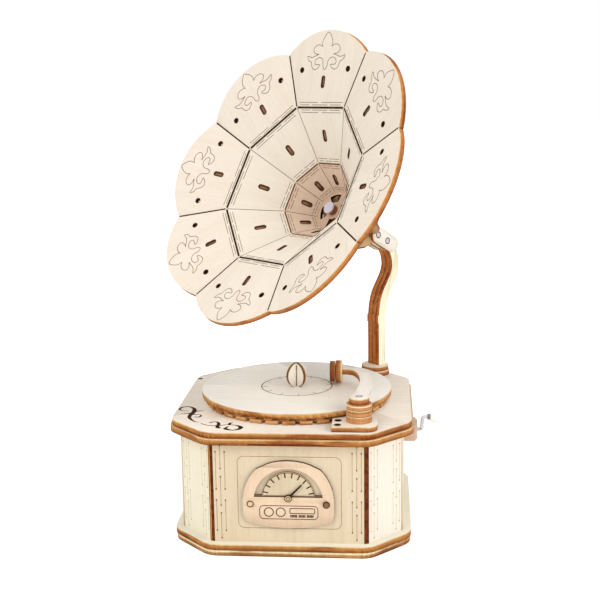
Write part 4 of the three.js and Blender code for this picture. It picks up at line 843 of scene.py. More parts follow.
class Bench:
    """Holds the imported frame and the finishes, and puts pieces into the scene."""

    seeds: int = 97
    seed_step: Pair = (0.37, 0.11)
    face_cosine: float = 0.985
    merge: float = 1e-6
    turned_angle: float = 28.0
    disc_sink: float = 0.1
    disc_count: int = 40

    def __init__(self, frame: dict) -> None:
        """Keep the frame's nodes and start the finishes."""
        self.nodes: dict[str, bpy.types.Object] = frame["nodes"]
        self.finishes = Finishes()

    def body(self, node: str) -> str:
        """Name of the body that a node moves with."""
        return self.nodes[node]["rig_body"]

    def add(
        self, name: str, mesh: bpy.types.Mesh, body: str, finishes: list[Finish], slot: Wood
    ) -> bpy.types.Object:
        """Put a mesh into the scene on a body.

        Args:
            name: name of the piece.
            mesh: its mesh, in metres, in the frame.
            body: body that it moves with.
            finishes: its finishes, one per material slot of the mesh.
            slot: slot of the record; not used.

        Returns:
            The new object.
        """
        made = bpy.data.objects.new(name, mesh)
        bpy.context.scene.collection.objects.link(made)
        mesh.materials.clear()
        for finish in finishes:
            mesh.materials.append(self.finishes.get(finish))
        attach(made, body)
        LOG.info("%s: %d faces on %s", name, len(mesh.polygons), body)
        return made

    def sheet(
        self, node: str, panels: list[Panel], face: Finish, edge: Finish, slot: Wood,
        cuts: list[tuple[float, ...]] | None = None, spot_edge_finish: Finish = CHAR_AND_SHADE,
    ) -> None:
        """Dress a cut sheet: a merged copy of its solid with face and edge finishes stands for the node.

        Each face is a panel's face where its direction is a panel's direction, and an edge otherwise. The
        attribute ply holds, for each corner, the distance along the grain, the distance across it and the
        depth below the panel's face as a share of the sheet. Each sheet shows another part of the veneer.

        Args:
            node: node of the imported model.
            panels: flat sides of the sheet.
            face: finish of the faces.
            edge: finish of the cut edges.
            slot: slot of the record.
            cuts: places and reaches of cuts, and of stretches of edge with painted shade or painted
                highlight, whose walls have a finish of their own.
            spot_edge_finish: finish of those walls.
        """
        mesh = self.nodes[node].data.copy()
        clean(mesh, self.merge, False)
        mesh.validate()
        places = column(mesh.vertices, "co", 3) / MM
        centres = column(mesh.polygons, "center", 3) / MM
        outs = unit([p.out for p in panels])
        grains = unit([p.grain for p in panels])
        spread = places @ outs.T
        fronts = np.array([spread[:, i].max() if p.face is None else p.face for i, p in enumerate(panels)])
        plies = np.array([np.ptp(spread[:, i]) if p.ply is None else p.ply for i, p in enumerate(panels)])
        facing = np.abs(column(mesh.polygons, "normal", 3) @ outs.T)
        is_face = facing.max(1) > self.face_cosine
        off_middle = np.abs(fronts[None] - centres @ outs.T - plies[None] / 2) / plies[None]
        chosen = np.where(is_face, facing.argmax(1), np.argmin(off_middle, 1))
        kinds = list(dict.fromkeys(p.finish or face for p in panels))
        kind = np.array([kinds.index(p.finish or face) for p in panels])
        slots = np.where(is_face, kind[chosen], len(kinds))
        for *place, reach in cuts or []:
            near = np.linalg.norm(centres - np.array(place), axis=1) < reach
            slots = np.where(near & ~is_face, len(kinds) + 1, slots)
        panel = np.repeat(chosen, column(mesh.polygons, "loop_total"))
        here = places[column(mesh.loops, "vertex_index")]
        seed = sum(map(ord, node)) % self.seeds
        along = (here * grains[panel]).sum(1) * MM + seed * self.seed_step[0]
        across = (here * np.cross(outs, grains)[panel]).sum(1) * MM + seed * self.seed_step[1]
        depth = (fronts[panel] - (here * outs[panel]).sum(1)) / plies[panel]
        ply = np.stack([along, across, depth], 1).astype(np.float32)
        mesh.attributes.new("ply", "FLOAT_VECTOR", "CORNER").data.foreach_set("vector", ply.ravel())
        soften(mesh)
        made = self.add(f"{node}_sheet", mesh, self.body(node), [*kinds, edge, spot_edge_finish], slot)
        mesh.polygons.foreach_set("material_index", slots.astype(np.int32))
        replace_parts(made, node)

    def coat(self, node: str, finish: Finish) -> None:
        """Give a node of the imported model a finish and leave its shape.

        Args:
            node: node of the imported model.
            finish: its finish.
        """
        data = self.nodes[node].data
        data.materials.clear()
        data.materials.append(self.finishes.get(finish))

    def lathe(
        self, node: str, profile: Array, origin: Array, axis: Array, finish: Finish, slot: Wood
    ) -> None:
        """Turned piece that stands for a node.

        Args:
            node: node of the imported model.
            profile: rows of radius and height.
            origin: place of height zero.
            axis: direction of growing height.
            finish: its finish.
            slot: slot of the record.
        """
        mesh = lathe_mesh(f"{node}_turned", profile, origin, axis)
        soften(mesh, self.turned_angle)
        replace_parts(self.add(f"{node}_turned", mesh, self.body(node), [finish], slot), node)

    def disc(
        self, name: str, centre: Array, out: Array, radius: float, height: float, body: str, finish: Finish
    ) -> None:
        """Flat disc a little proud of a surface, sunk slightly into it.

        Args:
            name: name of the piece.
            centre: its middle on the surface.
            out: outward direction.
            radius: its radius.
            height: how far it stands proud.
            body: body that it moves with.
            finish: its finish.
        """
        low = -self.disc_sink
        profile = [(0.0, low), (radius, low), (radius, height), (0.0, height)]
        mesh = lathe_mesh(name, profile, centre, out, self.disc_count)
        soften(mesh)
        self.add(name, mesh, body, [finish], Wood.PALE)

    def draw(
        self, name: str, strokes: list[Stroke], finish: Scorch, body: str = "base", lift: float = 0.05,
        slot: Wood = Wood.DARK,
    ) -> None:
        """Burnt lines, and lines of painted shade or painted highlight, on a surface.

        Args:
            name: name of the piece.
            strokes: its lines.
            finish: its finish.
            body: body that it moves with.
            lift: how far the lines stand proud.
            slot: slot of the record.
        """
        self.add(name, stroke_mesh(name, strokes, lift), body, [finish], slot)


@dataclass
class Case:
    """Octagonal case: plates, eight walls with hinge cuts, deck with its scroll.

    Walls are numbered from the right one round by the back. A row of the scroll is x, y and width.
    """

    half: float = field(default_factory=lambda: extent("wall_right", 0)[1])
    cut: float = 19.2
    wall_ends: Pair = field(default_factory=lambda: extent("wall_front", 2))
    deck_top: float = field(default_factory=lambda: extent("deck_plate", 2)[1])
    names: tuple[str, ...] = (
        "right", "back_right", "back", "back_left", "left", "front_left", "front", "front_right"
    )
    front: int = 6
    front_left: int = 5
    lit_edge_reach: float = 30.0
    seam_shade_reach: float = 14.0
    slit_places: tuple[float, ...] = (2.9, 5.3, 7.7)
    outer_slits: tuple[Pair, ...] = ((56.8, 36.1), (29.9, 12.8))
    middle_slits: tuple[Pair, ...] = ((60.2, 47.5), (43.0, 27.1), (22.6, 8.6))
    frame_box: tuple[float, float, float, float] = (-26.9, 14.6, 27.9, 54.5)
    frame_corner: float = 3.4
    frame_width: float = 0.34
    front_cut_width: float = 0.3
    front_cut_end: float = 0.42
    side_cut_width: float = 0.26
    side_cut_end: float = 0.38
    cut_end_share: float = 1.5
    strip_inset: float = 1.0
    strip_gaps: Pair = (0.3, 0.2)
    strip_width: float = 1.3
    shadow_line_ends: Pair = (-20.5, 20.2)
    shadow_line_height: float = 0.6
    shadow_line_width: float = 0.75
    edge_line: tuple[Pair, ...] = ((-64.0, 42.9), (-43.1, 63.8))
    edge_line_width: float = 0.35
    spot: Pair = (-62.8, 37.6)
    spot_radius: float = 0.9
    spot_width: float = 1.2
    spot_points: int = 12
    scroll_steps: int = 6
    scroll_weight: float = 1.35
    scroll_least: float = 0.2
    scroll: tuple[tuple[Triple, ...], ...] = (
        (
            (-62.0, -27.6, 0.4), (-63.6, -25.6, 0.85), (-63.1, -22.1, 1.0), (-61.0, -20.5, 0.85),
            (-58.3, -20.8, 0.9), (-55.7, -24.0, 1.5), (-54.8, -28.3, 1.87), (-55.2, -33.0, 2.0),
            (-55.8, -36.8, 1.75), (-55.1, -41.0, 1.37), (-53.1, -44.6, 0.9), (-50.9, -47.2, 0.55),
            (-48.4, -48.0, 0.15),
        ),
        ((-61.9, -27.6, 0.25), (-60.0, -28.5, 0.4), (-57.9, -28.0, 0.15)),
        ((-61.4, -33.7, 0.2), (-59.5, -33.8, 0.55), (-57.6, -32.9, 0.85), (-55.6, -33.1, 1.25)),
        ((-54.8, -28.3, 1.5), (-52.9, -28.3, 0.85), (-51.2, -28.0, 0.6), (-49.5, -27.5, 0.15)),
        (
            (-53.1, -38.2, 0.25), (-51.5, -39.3, 0.65), (-50.0, -38.5, 0.85), (-49.6, -36.2, 0.65),
            (-51.1, -34.3, 0.3), (-52.6, -34.6, 0.75), (-54.2, -34.7, 0.75),
        ),
        (
            (-47.7, -49.5, 0.26), (-45.0, -51.9, 0.45), (-42.2, -53.4, 0.45), (-38.9, -53.6, 0.59),
            (-37.2, -53.7, 0.59), (-35.3, -52.7, 0.45), (-33.5, -51.7, 0.45), (-31.4, -51.9, 0.59),
        ),
        (
            (-43.2, -49.0, 0.33), (-41.9, -47.8, 0.85), (-40.3, -46.8, 0.45), (-38.6, -47.8, 0.98),
            (-37.6, -50.8, 1.43), (-37.8, -53.8, 1.43), (-37.1, -56.7, 1.69), (-35.5, -57.0, 0.72),
        ),
        (
            (-30.4, -48.0, 0.33), (-31.7, -49.2, 1.3), (-31.7, -51.6, 0.98), (-29.4, -52.1, 0.52),
            (-27.0, -53.2, 1.1), (-25.1, -55.5, 1.82), (-25.5, -58.3, 1.62), (-27.3, -60.0, 1.1),
            (-29.4, -60.5, 0.85), (-31.5, -59.6, 1.43), (-33.1, -58.3, 1.49), (-32.6, -56.5, 0.98),
            (-31.9, -54.6, 0.45),
        ),
    )

    def wall_plane(self, index: int) -> Plane:
        """Plane of a wall's outer face, with its middle at height zero as the origin.

        Args:
            index: number of the wall.

        Returns:
            The plane, which faces outwards.
        """
        angle = math.tau * index / len(self.names)
        reach = self.half if index % 2 == 0 else (2 * self.half - self.cut) / math.sqrt(2)
        out = (math.cos(angle), math.sin(angle), 0.0)
        return Plane((out[0] * reach, out[1] * reach, 0.0), (-out[1], out[0], 0.0), UP)

    def wall_half(self, index: int) -> float:
        """Half of a wall's width."""
        return self.half - self.cut if index % 2 == 0 else self.cut / math.sqrt(2)

    def build(self, bench: Bench) -> None:
        """Dress the plates and walls and draw the cuts.

        Args:
            bench: where the pieces go.
        """
        self.plates(bench)
        self.walls(bench)
        front = [self.front]
        rest = [index for index in range(len(self.names)) if index != self.front]
        bench.draw("front_hinge_cuts", self.hinge_cuts(front, self.front_cut_width), FINE_LINE)
        bench.draw("front_cut_ends", self.cut_ends(front, self.front_cut_end), DOT)
        bench.draw("side_hinge_cuts", self.hinge_cuts(rest, self.side_cut_width), SIDE_LINE)
        bench.draw("side_cut_ends", self.cut_ends(rest, self.side_cut_end), SIDE_DOT)
        frame = rounded_box(*self.frame_box, self.frame_corner)
        frames = [self.wall_plane(self.front).stroke(frame, self.frame_width, True)]
        bench.draw("front_wall_frame", frames, FINE_LINE)
        bench.draw("seam_edge_strip", [self.seam_strip()], TAN_LINE, slot=Wood.TAN)
        # Painted shadow line under the deck.
        bench.draw("under_deck_shadow_line", [self.shadow_line()], SEAM, lift=0.02)
        bench.draw("deck_scroll", self.scroll_strokes(), CHAR_AND_SHADE)
        edge = level_plane(self.deck_top).stroke(self.edge_line, self.edge_line_width)
        bench.draw("deck_edge_line", [edge], OLIVE_LINE)

    def plates(self, bench: Bench) -> None:
        """Dress the four plates; the two upper ones have a painted highlight, paler and greyer, on their
        edges at the crank's side.

        Args:
            bench: where the pieces go.
        """
        for node, face, edge in (
            ("foot_plate", SIDE_FACE, FOOT_EDGE), ("floor_plate", SIDE_FACE, PLATE_EDGE),
            ("under_deck_plate", TAN_FACE, PLATE_EDGE), ("deck_plate", DECK_FACE, PLATE_EDGE),
        ):
            # Painted highlight on the edges of the deck plates near the crank's side.
            lit_edge = [(extent(node, 0)[1], 0.0, extent(node, 2)[1], self.lit_edge_reach)]
            lit_edges = lit_edge if "deck" in node else None
            bench.sheet(node, [Panel(UP, RIGHT)], face, edge, Wood.CREAM, lit_edges, LIT_EDGE_HIGHLIGHT)

    def walls(self, bench: Bench) -> None:
        """Dress the walls, and the frame whose fins show as seams at the front corners with painted shade
        there.

        Args:
            bench: where the pieces go.
        """
        # The front wall's tan veneer is partly its own tone and partly painted shade; the front left wall
        # is cream and the rest white.
        faces = {self.front: FRONT_FACE, self.front_left: SIDE_FACE}
        for index, name in enumerate(self.names):
            panel = Panel(tuple(self.wall_plane(index).out()), UP)
            bench.sheet(f"wall_{name}", [panel], faces.get(index, WHITE_FACE), SHADED_CUT_EDGE, Wood.TAN)
        corner, height = self.half - self.cut, sum(self.wall_ends) / 2
        # Painted shade on the fins' faces where they show in the two front seams.
        seams = [(side * corner, -self.half, height, self.seam_shade_reach) for side in SIDES]
        bench.sheet("corner_frame", [Panel(UP, RIGHT)], WHITE_FACE, PALE_EDGE, Wood.TAN, seams, SEAM)

    def seam_strip(self) -> Stroke:
        """Pale strip on the front left wall beside its seam with the front wall.

        Returns:
            The line.
        """
        x = self.wall_half(self.front_left) - self.strip_inset
        low, high = self.wall_ends[0] + self.strip_gaps[0], self.wall_ends[1] - self.strip_gaps[1]
        return self.wall_plane(self.front_left).stroke([[x, low], [x, high]], self.strip_width)

    def shadow_line(self) -> Stroke:
        """Painted shadow line low on the front edge of the plate under the deck."""
        line = [[x, self.wall_ends[1] + self.shadow_line_height] for x in self.shadow_line_ends]
        return front_plane(extent("under_deck_plate", 1)[0]).stroke(line, self.shadow_line_width)

    def cut_spans(self, walls: list[int]) -> list[tuple[Plane, float, float, float]]:
        """Upright cuts near each wall's two ends, in three columns whose breaks are offset.

        Args:
            walls: numbers of the walls.

        Returns:
            The plane, the place along the wall and the upper and lower end of each cut.
        """
        columns = (self.outer_slits, self.middle_slits, self.outer_slits)
        spans = []
        for index in walls:
            plane, reach = self.wall_plane(index), self.wall_half(index)
            for side in SIDES:
                for place, rows in zip(self.slit_places, columns):
                    spans += [(plane, side * (reach - place), high, low) for high, low in rows]
        return spans

    def hinge_cuts(self, walls: list[int], width: float) -> list[Stroke]:
        """Thin upright cuts on some walls."""
        return [plane.stroke([[x, high], [x, low]], width) for plane, x, high, low in self.cut_spans(walls)]

    def cut_ends(self, walls: list[int], length: float) -> list[Stroke]:
        """Short dark marks where each upright cut ends.

        Args:
            walls: numbers of the walls.
            length: how far a mark goes each way from the cut's end.

        Returns:
            The marks.
        """
        return [
            plane.stroke([[x, end - length], [x, end + length]], length * self.cut_end_share)
            for plane, x, high, low in self.cut_spans(walls)
            for end in (high, low)
        ]

    def scroll_strokes(self) -> list[Stroke]:
        """Scroll of tapering strokes on the deck's front left corner, and a round spot behind.

        Returns:
            The lines.
        """
        deck = level_plane(self.deck_top)
        strokes = []
        for table in self.scroll:
            line = curve(table, self.scroll_steps)
            width = np.maximum(line[:, 2] * self.scroll_weight, self.scroll_least)
            strokes.append(deck.stroke(line, width))
        spot = circle(self.spot_radius, self.spot_points, self.spot)
        strokes.append(deck.stroke(spot, self.spot_width, True))
        return strokes


@dataclass
class Dial:
    """Dial on the front wall: escutcheon, half-moon scale, pointer, pegs and engraved panel."""

    hub: float = 32.5
    hub_radii: Pair = (1.75, 0.8)
    hub_width: float = 0.42
    ring_points: int = 24
    cap_height: float = 0.12
    # Height, half length and width of the painted shadow line under the window.
    base: float = 33.1
    window_shadow_half: float = 18.2
    window_shadow_width: float = 0.62
    peg_radius: float = 1.62
    peg_width: float = 0.5
    panel_box: tuple[float, float, float, float] = (-15.3, 20.6, 15.6, 28.0)
    panel_corner: float = 2.2
    panel_width: float = 0.38
    panel_rings: tuple[Pair, ...] = ((-10.4, 24.4), (-4.1, 24.4))
    panel_ring_radius: float = 2.4
    panel_ring_width: float = 0.48
    panel_ring_points: int = 30
    window_box: tuple[float, float, float, float] = (0.8, 23.8, 13.9, 26.6)
    window_corner: float = 0.4
    window_width: float = 0.42
    mark_groups: tuple[float, ...] = (2.7, 7.1, 11.4)
    mark_steps: tuple[float, ...] = (-1.5, -0.75, 0.0, 0.75, 1.5)
    mark_low: float = 21.6
    mark_high: float = 23.0
    mark_lean: float = 0.12
    mark_width: float = 0.6
    arc_radius: float = 13.65
    arc_angles: Pair = (6.0, 174.0)
    arc_width: float = 0.3
    arc_points: int = 50
    tick_radii: Pair = (10.9, 13.6)
    tick_angles: Pair = (167.0, 11.0)
    tick_width: float = 0.7
    ticks: int = 10

    def build(self, bench: Bench) -> None:
        """Dress the dial and draw its lines.

        Args:
            bench: where the pieces go.
        """
        bench.sheet("dial_escutcheon", [Panel(FRONT, UP)], DIAL_FACE, SHADED_CUT_EDGE, Wood.TAN)
        bench.sheet("dial_scale", [Panel(FRONT, UP)], SCALE_FACE, PLATE_EDGE, Wood.PALE)
        bench.coat("dial_pointer", CHAR_AND_SHADE)
        bench.coat("dial_peg_left", DOWEL_WOOD)
        bench.coat("dial_peg_right", BROWN_WOOD)
        pointer = bench.body("dial_pointer")
        plane = self.plane("dial_pointer")
        hub = (0.0, self.hub)
        cap = plane.place([hub])[0]
        bench.disc("pointer_cap", cap, FRONT, self.hub_radii[0], self.cap_height, pointer, DOWEL_WOOD)
        rings = [circle(radius, self.ring_points, hub) for radius in self.hub_radii]
        strokes = [plane.stroke(ring, self.hub_width, True) for ring in rings]
        bench.draw("pointer_rings", strokes, DIAL_LINE, pointer, lift=0.18)
        bench.draw("dial_lines", self.panel_lines(), DIAL_LINE)
        bench.draw("dial_ticks", self.tick_lines(), DIAL_LINE)
        bench.draw("peg_rings", self.peg_rings(), DIAL_LINE)

    def plane(self, node: str) -> Plane:
        """Plane of a node's front face."""
        return front_plane(extent(node, 1)[0])

    def peg_rings(self) -> list[Stroke]:
        """Dark ring on each peg's face.

        Returns:
            The rings.
        """
        made = []
        for node in ("dial_peg_left", "dial_peg_right"):
            x, _, z = middle(node)
            ring = circle(self.peg_radius, self.ring_points, (x, z))
            made.append(self.plane(node).stroke(ring, self.peg_width, True))
        return made

    def panel_lines(self) -> list[Stroke]:
        """Painted shadow line under the window, and the panel with two rings, a small window and plain
        marks.

        Returns:
            The lines.
        """
        plane = self.plane("dial_escutcheon")
        lines = [
            plane.stroke([[side * self.window_shadow_half, self.base] for side in SIDES], self.window_shadow_width),
            plane.stroke(rounded_box(*self.panel_box, self.panel_corner), self.panel_width, True),
        ]
        for spot in self.panel_rings:
            ring = circle(self.panel_ring_radius, self.panel_ring_points, spot)
            lines.append(plane.stroke(ring, self.panel_ring_width, True))
        window = rounded_box(*self.window_box, self.window_corner)
        lines.append(plane.stroke(window, self.window_width, True))
        for x in (group + step for group in self.mark_groups for step in self.mark_steps):
            mark = [[x, self.mark_low], [x + self.mark_lean, self.mark_high]]
            lines.append(plane.stroke(mark, self.mark_width))
        return lines

    def tick_lines(self) -> list[Stroke]:
        """Ticks across the scale's arc and the arc itself.

        Returns:
            The lines.
        """
        plane = self.plane("dial_scale")
        hub = (0.0, self.hub)
        line = arc(self.arc_radius, *self.arc_angles, self.arc_points, hub)
        lines = [plane.stroke(line, self.arc_width)]
        for angle in np.radians(np.linspace(*self.tick_angles, self.ticks)):
            spoke = np.array([math.cos(angle), math.sin(angle)])
            tick = [np.array(hub) + spoke * radius for radius in self.tick_radii]
            lines.append(plane.stroke(tick, self.tick_width))
        return lines


@dataclass
class Turntable:
    """Turntable: two toothed rings, the record, its label and the leaf knob."""

    record_top: float = field(default_factory=lambda: extent("record", 2)[1])
    label_radius: float = 20.2
    label_width: float = 0.5
    label_points: int = 120
    mark_radius: float = 16.6
    mark_step: float = 30.0
    mark_width: float = 0.28
    leaf_turn: float = 45.0
    leaf_ply: float = 1.8
    # Heights and width of the painted shade line where the knob's leaves cross.
    crease_shade_heights: tuple[float, ...] = (0.4, 6.0, 12.4)
    seam_width: float = 0.42

    def build(self, bench: Bench) -> None:
        """Dress the turntable and draw its label.

        Args:
            bench: where the pieces go.
        """
        for node in ("ring_low", "ring_high"):
            bench.sheet(node, [Panel(UP, RIGHT)], TAN_FACE, TOOTH_EDGE, Wood.TAN)
        bench.sheet("record", [Panel(UP, RIGHT)], RECORD_FACE, RECORD_EDGE, Wood.CREAM)
        turn = math.radians(self.leaf_turn)
        for node, side in (("knob_leaf_a", -1.0), ("knob_leaf_b", 1.0)):
            panel = Panel((side * math.sin(turn), math.cos(turn), 0.0), UP)
            bench.sheet(node, [panel], WHITE_FACE, LEAF_EDGE, Wood.PALE)
        bench.coat("spindle", STEEL)
        bench.coat("crown_wheel", BRASS)
        bench.draw("record_label", self.label_lines(), LINE, "turntable")
        # Painted shade in the crease where the two knob leaves cross.
        seam = [[0.0, self.record_top + z] for z in self.crease_shade_heights]
        seams = [front_plane(-self.leaf_ply / math.sqrt(2)).stroke(seam, self.seam_width)]
        bench.draw("knob_crease_shade", seams, CHAR_AND_SHADE, "turntable", lift=0.24)

    def label_lines(self) -> list[Stroke]:
        """Ring of the label with short radial marks inside it.

        Returns:
            The lines.
        """
        record = level_plane(self.record_top)
        ring = circle(self.label_radius, self.label_points)
        lines = [record.stroke(ring, self.label_width, True)]
        for angle in np.radians(np.arange(self.mark_step / 4, 360, self.mark_step)):
            spoke = np.array([math.cos(angle), math.sin(angle)])
            mark = [spoke * self.mark_radius, spoke * self.label_radius]
            lines.append(record.stroke(mark, self.mark_width))
        return lines


@dataclass
class ToneArm:
    """Tone arm: foot plate with holes, stacked post, swivel, curved arm and sound box.

    The arm's outer side faces away from the record and takes the light; its edge there is painted as pale
    as its top, a painted highlight.
    """

    axis: Pair = field(default_factory=lambda: tuple(middle("arm_post")[:2]))
    bore: float = 1.7
    groove: float = 0.5
    rim: float = 0.22
    rim_flat: float = 0.02
    layers: int = 3
    # Widths and shifts of the painted shade in the grooves and of the painted highlights.
    groove_shade_width: float = 0.3
    groove_shade_shift: float = 0.12
    highlight_width: float = 0.28
    highlight_shift: float = 0.3
    top_highlight_width: float = 0.7
    top_highlight_shift: float = 0.75
    pin_width: float = 0.4
    ring_points: int = 45
    hole_x: float = 11.1
    hole_y: tuple[float, ...] = (7.4, -0.1)
    hole_radius: float = 1.8
    hole_width: float = 0.36
    hole_depth: float = 1.5
    hole_reach: float = 2.4
    lit_side_reach: float = 4.2
    lit_outer_side: tuple[Pair, ...] = (
        (41.4, -45.0), (42.6, -39.0), (43.2, -33.0), (43.4, -27.0),
        (43.4, -21.0), (42.9, -15.0), (41.9, -9.0), (40.0, -3.5),
    )

    def stack(self, bottom: float, height: float, radius: float) -> Array:
        """Profile of stacked discs with softened rims: outside first, then back along the bore.

        Args:
            bottom: height of its underside.
            height: height of the whole stack.
            radius: radius of the discs.

        Returns:
            Rows of radius and height.
        """
        layer = height / self.layers
        rim, flat, shoulder = self.rim, self.rim_flat, radius - self.rim
        rows = [(self.bore, 0.0)]
        for low, high in ((i * layer, (i + 1) * layer) for i in range(self.layers)):
            rows += [(radius - self.groove, low), (shoulder, low + flat), (radius, low + rim)]
            rows += [(radius, high - rim), (shoulder, high - flat)]
        made = np.array(rows + [(self.bore, height), (self.bore, 0.0)])
        made[:, 1] += bottom
        return made

    def build(self, bench: Bench) -> None:
        """Dress the tone arm.

        Args:
            bench: where the pieces go.
        """
        self.foot(bench)
        low, high = extent("tone_arm", 2)
        # Painted highlight: the lit outer edge takes the pale face finish.
        outer = [(x, y, (low + high) / 2, self.lit_side_reach) for x, y in self.lit_outer_side]
        bench.sheet("tone_arm", [Panel(UP, BACK)], RECORD_FACE, ARM_EDGE, Wood.CREAM, outer, RECORD_FACE)
        self.turned(bench, "arm_post", (2,))
        self.turned(bench, "arm_swivel", (0, 1))
        radius, swivel_top = half_span("arm_swivel", 0), extent("arm_swivel", 2)[1]
        # Painted highlight round the top of the swivel.
        rim = [self.band(radius, swivel_top - self.top_highlight_shift, self.top_highlight_width)]
        self.pale(bench, "arm_swivel_painted_highlight_rim", rim, "arm_swivel")
        bench.coat("arm_pin", CAP_WOOD)
        ring = circle(self.bore, self.ring_points, self.axis)
        strokes = [level_plane(high).stroke(ring, self.pin_width, True)]
        bench.draw("arm_pin_rim", strokes, SLOT_RIM, bench.body("tone_arm"))
        for node in ("soundbox_back", "soundbox_front"):
            bench.sheet(node, [Panel(RIGHT, UP)], FRONT_FACE, ARM_EDGE, Wood.TAN)

    def foot(self, bench: Bench) -> None:
        """Dress the foot plate and the rims of its holes.

        Args:
            bench: where the pieces go.
        """
        top = extent("arm_plate", 2)[1]
        holes = [(self.axis[0] - self.hole_x, self.axis[1] - y) for y in self.hole_y]
        cuts = [(*hole, top - self.hole_depth, self.hole_reach) for hole in holes]
        bench.sheet("arm_plate", [Panel(UP, RIGHT)], DECK_FACE, ARM_EDGE, Wood.CREAM, cuts)
        rims = [circle(self.hole_radius, self.ring_points, hole) for hole in holes]
        strokes = [level_plane(top).stroke(rim, self.hole_width, True) for rim in rims]
        bench.draw("arm_plate_rims", strokes, SLOT_RIM)

    def turned(self, bench: Bench, node: str, grooves: tuple[int, ...]) -> None:
        """Stack of discs with painted shade as a dark line in some grooves and a painted highlight as a
        pale line just below.

        Args:
            bench: where the pieces go.
            node: node that the stack stands for.
            grooves: grooves that have a line, from the bottom.
        """
        radius = half_span(node, 0)
        low, high = extent(node, 2)
        profile = self.stack(low, high - low, radius)
        bench.lathe(node, profile, np.array([*self.axis, 0.0]), UP, STACK_WOOD, Wood.TAN)
        layer, shift = (high - low) / self.layers, self.groove_shade_shift
        # Painted shade in the grooves and painted highlights just below them.
        dark = [self.band(radius - shift, low + layer * i + shift, self.groove_shade_width) for i in grooves]
        pale = [self.band(radius, low + layer * i - self.highlight_shift, self.highlight_width) for i in grooves if i]
        self.pale(bench, f"{node}_painted_highlight_rims", pale, node)
        bench.draw(f"{node}_groove_shade_rims", dark, SEAM, bench.body(node), lift=0.06)

    def pale(self, bench: Bench, name: str, lines: list[Stroke], node: str) -> None:
        """Draw painted highlight lines that move with a node."""
        bench.draw(name, lines, HIGHLIGHT_LINE, bench.body(node), lift=0.04, slot=Wood.TAN)

    def band(self, radius: float, z: float, width: float) -> Stroke:
        """Line round the post: its outward side at each point is the direction from the axis.

        Args:
            radius: its radius.
            z: its height.
            width: its width.

        Returns:
            The closed line.
        """
        points = level_plane(z).place(circle(radius, self.ring_points, self.axis))
        return Stroke(points, unit(points - np.array([*self.axis, z])), width, True)


@dataclass
class Crank:
    """Crank on the right wall: boss, bent wire, collar and handle.

    A row of the handle's two ends is how much thinner it is there and how far that is from the end.
    """

    handle_start: tuple[Pair, ...] = ((0.7, 0.0), (0.15, 0.35), (0.0, 1.1))
    handle_end: tuple[Pair, ...] = ((0.12, 0.9), (0.7, 0.15), (1.5, 0.0))
    waist_share: float = 0.55
    bore: float = 1.4
    bore_depth: float = 3.7

    def build(self, bench: Bench) -> None:
        """Dress the crank.

        Args:
            bench: where the pieces go.
        """
        # The wire and the handle carry painted light.
        for node, finish in (
            ("crank_boss", BOSS_WOOD), ("crank_wire", WIRE_PAINTED_SHEEN),
            ("crank_collar", COLLAR_WOOD), ("crank_pinion", BRASS),
        ):
            bench.coat(node, finish)
        low, high = extent("crank_handle", 0)
        inner = [low, *middle("crank_handle")[1:]]
        bench.lathe("crank_handle", self.handle(high - low), inner, RIGHT, KNOB_WOOD_LIT, Wood.PALE)

    def handle(self, length: float) -> Array:
        """Profile of the handle: a rounded barrel with a bore for the wire.

        Args:
            length: length of the handle.

        Returns:
            Rows of radius and height.
        """
        radius = half_span("crank_handle", 1)
        rows = [(self.bore, 0.0)]
        rows += [(radius - less, place) for less, place in self.handle_start]
        rows += [(radius, length * self.waist_share)]
        rows += [(radius - less, length - place) for less, place in self.handle_end]
        rows += [(0.0, length), (0.0, self.bore_depth), (self.bore, self.bore_depth), (self.bore, 0.0)]
        return np.array(rows)


@dataclass
class Movement:
    """Musical movement inside the case."""

    brass_nodes: tuple[str, ...] = ("movement_bed", "drum", "drum_wheel")

    def build(self, bench: Bench) -> None:
        """Coat the hidden metal pieces.

        Args:
            bench: where the pieces go.
        """
        for node in self.brass_nodes:
            bench.coat(node, BRASS)
        bench.coat("comb", STEEL)


